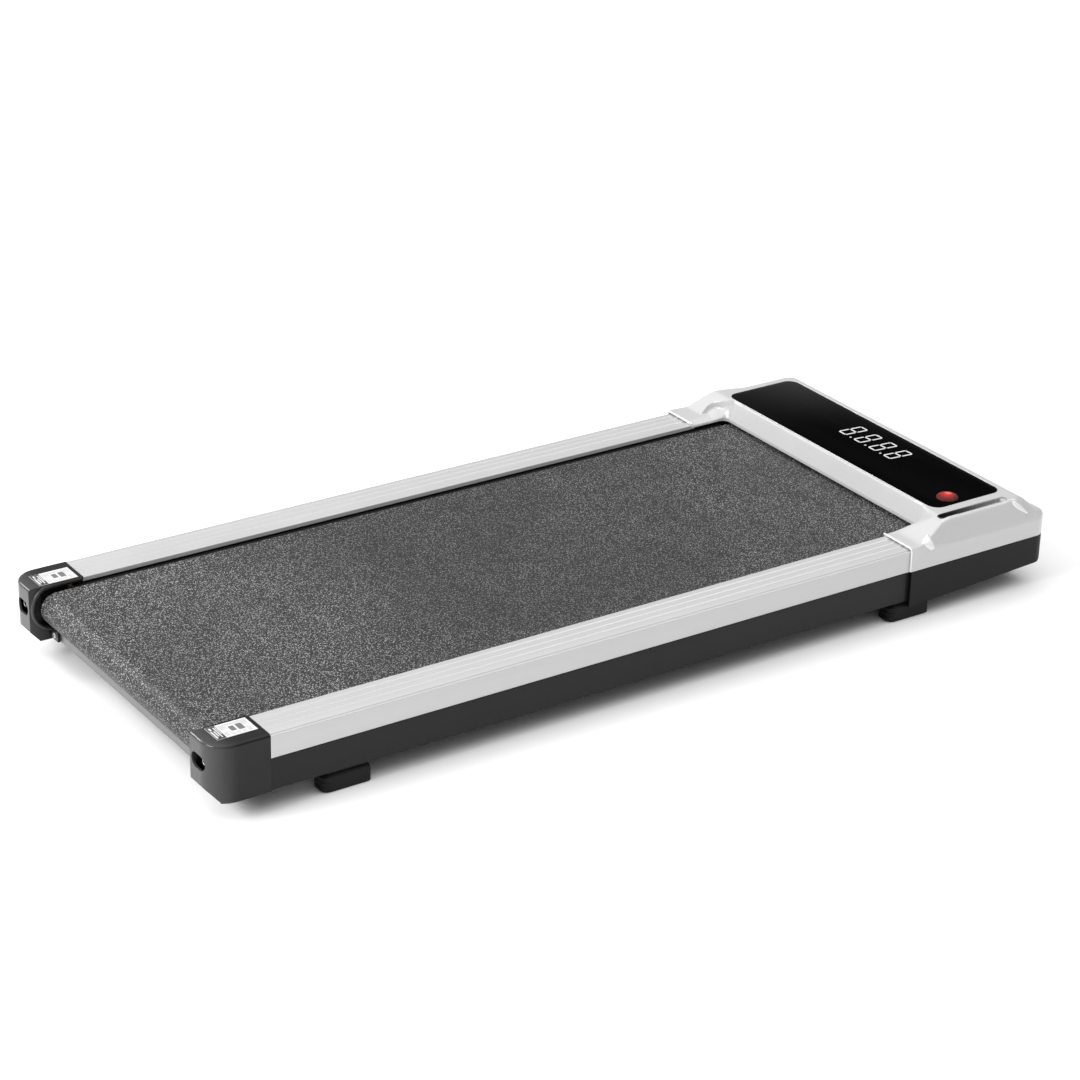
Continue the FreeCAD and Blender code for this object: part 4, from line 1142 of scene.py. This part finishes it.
def makeFolds():
    shape = foldShape
    corners, bends = (np.array(shape[key]) + shape["shift"] for key in ("corners", "bends"))
    outline = []
    for n in range(4):
        start, bend, end = corners[n], bends[n], corners[(n + 1) % 4]
        for t in (0, 0.2, 0.4, 0.6, 0.8):
            outline.append(start * (1 - t) * (1 - 2 * t) + bend * 4 * t * (1 - t) + end * t * (2 * t - 1))
    # both folds take the paler plastic, a painted highlight
    fold = domed("shoulderFold", outline, shape["shoulderOut"], shape["shoulderRise"], paintedHighlightShell)
    fitted(fold, "frame", "silver_plastic")
    middle, along, across = (np.array(shape[key]) for key in ("middle", "along", "across"))
    long, wide, taper = shape["halfLength"], shape["halfWidth"], shape["taper"]
    outline = [middle + along * long * math.cos(a) + across * (wide - taper * math.cos(a)) * math.sin(a)
               for a in (math.radians(15 * n) for n in range(24))]
    fold = domed("cornerFold", outline, shape["cornerOut"], shape["cornerRise"], paintedHighlightShell)
    fitted(fold, "frame", "silver_plastic")


makeHood()
makeFolds()
print("hood shaped")


windowShape = {"corner": 15.7, "edge": 0.35}
digitShape = {"pitch": 31.2, "width": 16.0, "height": 37.5, "lean": 4.0 / 37.5, "stroke": 2.5, "lift": 0.12,
              "firstX": 1.6, "firstY": 5.5, "dot": 1.6}


def makeDisplay():
    low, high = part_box("display_window")
    outline = roundedOutline((low.x, low.y), (high.x, high.y), windowShape["corner"] * mm, 12)
    pane = plate("displayPane", outline, low.z, high.z, windowShape["edge"] * mm, glass)
    hole = lofted("cutter", [circle((domeHigh.x - domeLow.x) / 2 + 0.4 * mm, z, 48) for z in (0.118, 0.127)])
    hole.data.transform(Matrix.Translation((domeMiddle.x, domeMiddle.y, 0)))
    modified(pane, "BOOLEAN", object=hole, operation="DIFFERENCE", solver="EXACT")
    pane = settled(pane, "displayPane")
    bpy.data.objects.remove(hole)
    smoothed(pane.data, 30)
    fitted(pane, "frame", "display_glass", "display_window")
    outline = roundedOutline((low.x - 0.5 * mm, low.y - 0.5 * mm), (high.x + 0.5 * mm, high.y + 0.5 * mm),
                             (windowShape["corner"] + 0.5) * mm, 12)
    path = [(x, y, high.z - 0.1 * mm) for x, y in outline + outline[:1]]
    rim = swept("windowRim", path, 0.55 * mm, silverShell)
    fitted(rim, "frame", "silver_plastic")

    shape = digitShape
    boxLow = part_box("digit_modules")[0]
    tall, wide = shape["height"] * mm, shape["width"] * mm
    half = shape["stroke"] / 2
    bar = lofted("bar", [[(px * mm, py * mm, z) for px, py in
                          ((-0.5, 0), (-0.5 + 0.08, -half), (0.5 - 0.08, -half), (0.5, 0), (0.5 - 0.08, half),
                           (-0.5 + 0.08, half))] for z in (0, shape["lift"] * mm)])
    places = []
    reach = tall / 2 - 2.4 * mm
    for n in range(4):
        x = boxLow.x + (shape["firstX"] + n * shape["pitch"]) * mm + wide / 2
        y = boxLow.y + shape["firstY"] * mm + tall / 2
        for step in (-1, 0, 1):
            places.append(((x, y + step * (tall / 2 - half * mm), high.z), (0, 0, 0),
                           (wide / mm - 3.2, 1, 1)))
        for across in (-1, 1):
            for along in (-1, 1):
                places.append(((x + across * (wide / 2 - half * mm), y + along * tall / 4, high.z),
                               (0, 0, math.pi / 2), (reach / mm, 1, 1)))
    leanFrom = boxLow.y + shape["firstY"] * mm
    segments = repeated("digitSegments", bar, places, segmentGlow, shape["lean"], leanFrom)
    fitted(segments, "frame", "digit_white")
    dot = lofted("dot", [circle(shape["dot"] * mm, z, 12) for z in (0, shape["lift"] * mm)])
    spots = [((boxLow.x + (27.0 + n * shape["pitch"]) * mm, leanFrom + 1.5 * mm, high.z),
              (0, 0, 0), (1, 1, 1)) for n in range(3)]
    dots = repeated("digitDots", dot, spots, segmentGlow)
    fitted(dots, "frame", "digit_white")


slotStep = {"inset": 1.2, "length": 8, "frontGap": 1.4, "corner": 1.5, "floor": 3, "below": 1.2, "edge": 0.5}


# the small step at the front end of the slot
def makeSlotEnd():
    low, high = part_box("slot_tray")
    shape = {key: value * mm for key, value in slotStep.items()}
    outline = roundedOutline((low.x + shape["inset"], high.y - shape["length"]),
                             (high.x - shape["inset"], high.y - shape["frontGap"]), shape["corner"], 5)
    step = plate("slotEnd", outline, low.z + shape["floor"], high.z - shape["below"],
                 shape["edge"], silverShell)
    fitted(step, "frame", "silver_plastic")


buttonShape = {"stemRadius": 0.004, "under": 0.1196, "seat": 0.12451, "steps": 14, "roll": 0.82}


# the dome by its section, with a rolled shoulder and the stem below
def makeButton():
    radius = (domeHigh.x - domeLow.x) / 2
    stem, under, seat = (buttonShape[key] for key in ("stemRadius", "under", "seat"))
    rise = domeHigh.z - seat
    rings = [circle(stem, domeLow.z, 48), circle(stem, under, 48), circle(radius, under, 48)]
    for n in range(buttonShape["steps"] + 1):
        angle = math.radians(90 * n / buttonShape["steps"])
        reach = max(radius * math.cos(angle) ** buttonShape["roll"], 0.0001)
        rings.append(circle(reach, seat + rise * math.sin(angle), 48))
    dome = lofted("startDome", rings, redGloss)
    dome.data.transform(Matrix.Translation((domeMiddle.x, domeMiddle.y, 0)))
    smoothed(dome.data, 40)
    fitted(dome, "start_button", "red_lens", "start_button")


makeDisplay()
makeSlotEnd()
makeButton()
print("display fitted")


capDetail = {"bead": 2.6, "beadRadius": 29.6, "beadTurn": 172, "beadSteps": 32, "beadInset": 1.4, "edge": 1.7,
             "linerX": 209.5, "linerHalf": 0.7, "linerFrom": 6.5, "linerTo": 17,
             "linerLow": 50, "linerHigh": 88,
             "ringRadius": 3.6, "ringWire": 0.5, "screwX": 208.5, "screwAhead": 22, "screwZ": 95.2}


# the six faces of a thin rectangle
def slab(low, high, z, thickness):
    return [[(low[0], low[1], z), (high[0], low[1], z), (high[0], high[1], z), (low[0], high[1], z)],
            thickness]


# thin rectangles in one piece
def sticker(name, slabs, material):
    points, faces = [], []
    for corners, thickness in slabs:
        start = len(points)
        points += corners + [(x, y, z + thickness) for x, y, z in corners]
        faces += [tuple(start + n for n in quad) for quad in
                  ((3, 2, 1, 0), (4, 5, 6, 7), (0, 1, 5, 4), (1, 2, 6, 5), (2, 3, 7, 6), (3, 0, 4, 7))]
    mesh = bpy.data.meshes.new(name)
    mesh.from_pydata(points, [], faces)
    return shown(name, mesh, material)


labelShape = {
    "split": 0.24, "ink": 0.03, "line": 0.42, "firstLine": 0.275, "lineStep": 0.0345, "lines": 20,
    "bars": (((0.10, 0.05), (0.30, 0.10)), ((0.36, 0.03), (0.90, 0.07)), ((0.36, 0.10), (0.78, 0.13)),
             ((0.12, 0.155), (0.88, 0.185)), ((0.12, 0.205), (0.66, 0.225))),
    "blocks": ((0.30, 0.47, 0.66, 0.60), (0.26, 0.65, 0.70, 0.80)), "blockRun": (0.44, 0.82),
}


def makeLabels():
    shape = labelShape
    ink = shape["ink"] * mm
    base, black, grey = [], [], []
    for low, high in islands("cap_labels"):
        long, wide = high.y - low.y, high.x - low.x
        top = high.z
        base.append(slab((low.x, low.y), (high.x, high.y), low.z, top - low.z))
        at = lambda x, y: (low.x + x * wide, low.y + y * long)
        split = low.y + long * shape["split"]
        black.append(slab((low.x + 0.3 * mm, low.y + 0.3 * mm), (high.x - 0.3 * mm, split), top, ink))
        for start, end in shape["bars"]:
            base.append(slab(at(*start), at(*end), top + ink, ink))
        for x0, y0, x1, y1 in shape["blocks"]:
            grey.append(slab(at(x0, y0), at(x1, y1), top, ink))
        for n in range(shape["lines"]):
            share = shape["firstLine"] + shape["lineStep"] * n
            y = low.y + long * share
            runs = ((0.07, 0.40 + 0.05 * (n % 3)), (0.62, 0.92))
            if shape["blockRun"][0] < share < shape["blockRun"][1]:
                runs = ((0.07, 0.21), (0.76, 0.93))
            for start, end in runs[:2 - (n % 4 == 3)]:
                line = slab((low.x + start * wide, y), (low.x + end * wide, y + shape["line"] * mm), top, ink)
                grey.append(line)
    fitted(sticker("labelPaper", base, stickerWhite), "frame", "label_vinyl", "cap_labels")
    fitted(sticker("labelStrip", black, stickerBlack), "frame", "label_vinyl")
    fitted(sticker("labelMarks", grey, stickerGrey), "frame", "label_vinyl")


def makeCaps():
    detail = capDetail
    rollerLow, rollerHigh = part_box("rear_roller")
    middleY, middleZ = (rollerLow.y + rollerHigh.y) / 2, (rollerLow.z + rollerHigh.z) / 2
    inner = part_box("foot_rail_right")[0].x - detail["beadInset"] * mm
    reach = detail["beadRadius"] * mm
    for side, end in ((1, "right"), (-1, "left")):
        node = f"end_cap_{end}"
        softened(node, f"endCap_{end}", detail["edge"], 4)
        low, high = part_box(node)
        ceiling = high.z - detail["bead"] * mm
        path = [(high.y - 2 * mm, ceiling), (middleY + 9 * mm, ceiling)]
        for n in range(detail["beadSteps"] + 1):
            angle = math.radians(90 + detail["beadTurn"] * n / detail["beadSteps"])
            path.append((middleY + reach * math.cos(angle), min(middleZ + reach * math.sin(angle), ceiling)))
        bead = swept(f"capBead_{end}", [(side * inner, y, z) for y, z in path], detail["bead"] * mm, capShell)
        fitted(bead, "frame", "cap_plastic")
        # a dark plate closes the inner end of the access hole
        wallX, half = side * detail["linerX"] * mm, detail["linerHalf"] * mm
        wall = roundedOutline((wallX - half, low.y + detail["linerFrom"] * mm),
                              (wallX + half, low.y + detail["linerTo"] * mm), 0.5 * mm, 4)
        liner = plate(f"capLiner_{end}", wall, detail["linerLow"] * mm, detail["linerHigh"] * mm,
                      0.3 * mm, rubber)
        fitted(liner, "frame", "cap_plastic")
        boltLow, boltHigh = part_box(f"adjust_bolt_{end}")
        boltX, boltZ = (boltLow.x + boltHigh.x) / 2, (boltLow.z + boltHigh.z) / 2
        radius = detail["ringRadius"] * mm
        ring = [(boltX + radius * math.cos(a), boltLow.y - 0.1 * mm, boltZ + radius * math.sin(a))
                for a in (math.radians(10 * n) for n in range(37))]
        ring = swept(f"boltRing_{end}", ring, detail["ringWire"] * mm, zinc)
        fitted(ring, f"adjust_bolt_{end}", "zinc_steel")
    screw = socketScrew("screw", 2.9 * mm, 2.0 * mm, 1.3 * mm, 1.5 * mm, 4 * mm)
    places = [((side * detail["screwX"] * mm, middleY + detail["screwAhead"] * mm, detail["screwZ"] * mm),
               (0, -side * math.pi / 2, 0), (1, 1, 1)) for side in (-1, 1)]
    fitted(repeated("capScrews", screw, places, zinc), "frame", "zinc_steel")


makeCaps()
makeLabels()
print("rear end fitted")


edgeBreak = {
    "base_cover": ("baseShell", 0.8), "rear_guard_bar": ("guardBar", 0.35), "slot_tray": ("slotLiner", 0.25),
    "side_frame_left": ("sideFrame_left", 1.2),
    "side_frame_right": ("sideFrame_right", 1.2), "adjust_bolt_left": ("adjustBolt_left", 0.3),
    "adjust_bolt_right": ("adjustBolt_right", 0.3), "power_inlet": ("powerInlet", 0.4),
    "switch_housing": ("switchHousing", 0.4), "power_rocker": ("powerRocker", 0.6),
    "transport_wheel_left": ("transportWheel_left", 0.6),
    "transport_wheel_right": ("transportWheel_right", 0.6),
    "wheel_pins": ("wheelPins", 0.4), "rear_bracket_left": ("rearBracket_left", 0.4),
    "rear_bracket_right": ("rearBracket_right", 0.4), "front_bracket_left": ("frontBracket_left", 0.4),
    "front_bracket_right": ("frontBracket_right", 0.4), "cross_beams": ("crossBeams", 1.0),
}
blackenedNodes = ("adjust_bolt_left", "adjust_bolt_right")
for node, (name, width) in edgeBreak.items():
    piece = softened(node, name, width)
    if node in blackenedNodes:
        piece.data.materials[0] = blackened


footShape = {"inner": 227.0, "outer": 255.0, "rounding": 9.0, "ribs": (6.0, 12.5, 19.0), "ribRadius": 1.1,
             "levels": ((0.0, 1.6), (1.6, 0.0), (19.0, 0.0), (21.5, 1.8), (22.5, 4.0), (27.6, 4.6))}


# moulded pads: rounded in plan at the rear, with a ledge outside the frame and ribs on the nose
def makeFeet():
    shape = footShape
    for node, name in (("front_feet", "frontFeet"), ("rear_feet", "rearFeet")):
        low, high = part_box(node)
        rear, front = low.y / mm - 1.0, high.y / mm
        pads = []
        for side in (-1, 1):
            rings = []
            for z, inset in shape["levels"]:
                outline = []
                radius = shape["rounding"]
                for cx, cy, start, r in (
                        (shape["outer"], front, 0, 3.0), (shape["inner"], front, 90, 3.0),
                        (shape["inner"], rear, 180, radius), (shape["outer"], rear, 270, radius)):
                    r = max(r - inset * 0.5, 1.0)
                    cx += (-r - inset) if start in (0, 270) else (r + inset * 0.3)
                    cy += (-r - inset * 0.5) if start in (0, 90) else (r + inset)
                    for n in range(7):
                        angle = math.radians(start + 15 * n)
                        outline.append((side * (cx + r * math.cos(angle)) * mm,
                                        (cy + r * math.sin(angle)) * mm, z * mm))
                rings.append(outline)
            pads.append(lofted("pad", rings))
            for z in shape["ribs"]:
                radius = shape["rounding"] - 0.1
                path = [(side * (shape["inner"] + 12) * mm, (rear + 0.1) * mm, z * mm)]
                for n in range(9):
                    angle = math.radians(270 + 11 * n)
                    path.append((side * (shape["outer"] - shape["rounding"] + radius * math.cos(angle)) * mm,
                                 (rear + shape["rounding"] + radius * math.sin(angle)) * mm, z * mm))
                pads.append(swept("rib", path, shape["ribRadius"] * mm, rubber))
        fitted(joined(name, pads, rubber), "frame", "black_rubber", node)


# button head screws where the solids of a screw node stand
def makeScrews():
    for node, name in (("cover_screws", "coverScrews"), ("foot_screws", "footScrews")):
        places = []
        heads = []
        for low, high in islands(node):
            span = high - low
            if span.y > span.z * 1.4 and span.z < 0.02:          # lies along Y, its head to the rear
                heads.append((span.z / 2, 2.4 * mm))
                places.append((((low.x + high.x) / 2, low.y + 2.6 * mm, (low.z + high.z) / 2),
                               (math.pi / 2, 0, 0), (1, 1, 1)))
            else:                                                 # stands up, its head below
                places.append((((low.x + high.x) / 2, (low.y + high.y) / 2, low.z + 2.9 * mm),
                               (math.pi, 0, 0), (1, 1, 1)))
        screw = socketScrew("screw", 4.15 * mm, 2.6 * mm, 1.9 * mm, 1.8 * mm, 9 * mm)
        fitted(repeated(name, screw, places, zinc), "frame", "zinc_steel", node)


makeFeet()
makeScrews()
print("hardware fitted")
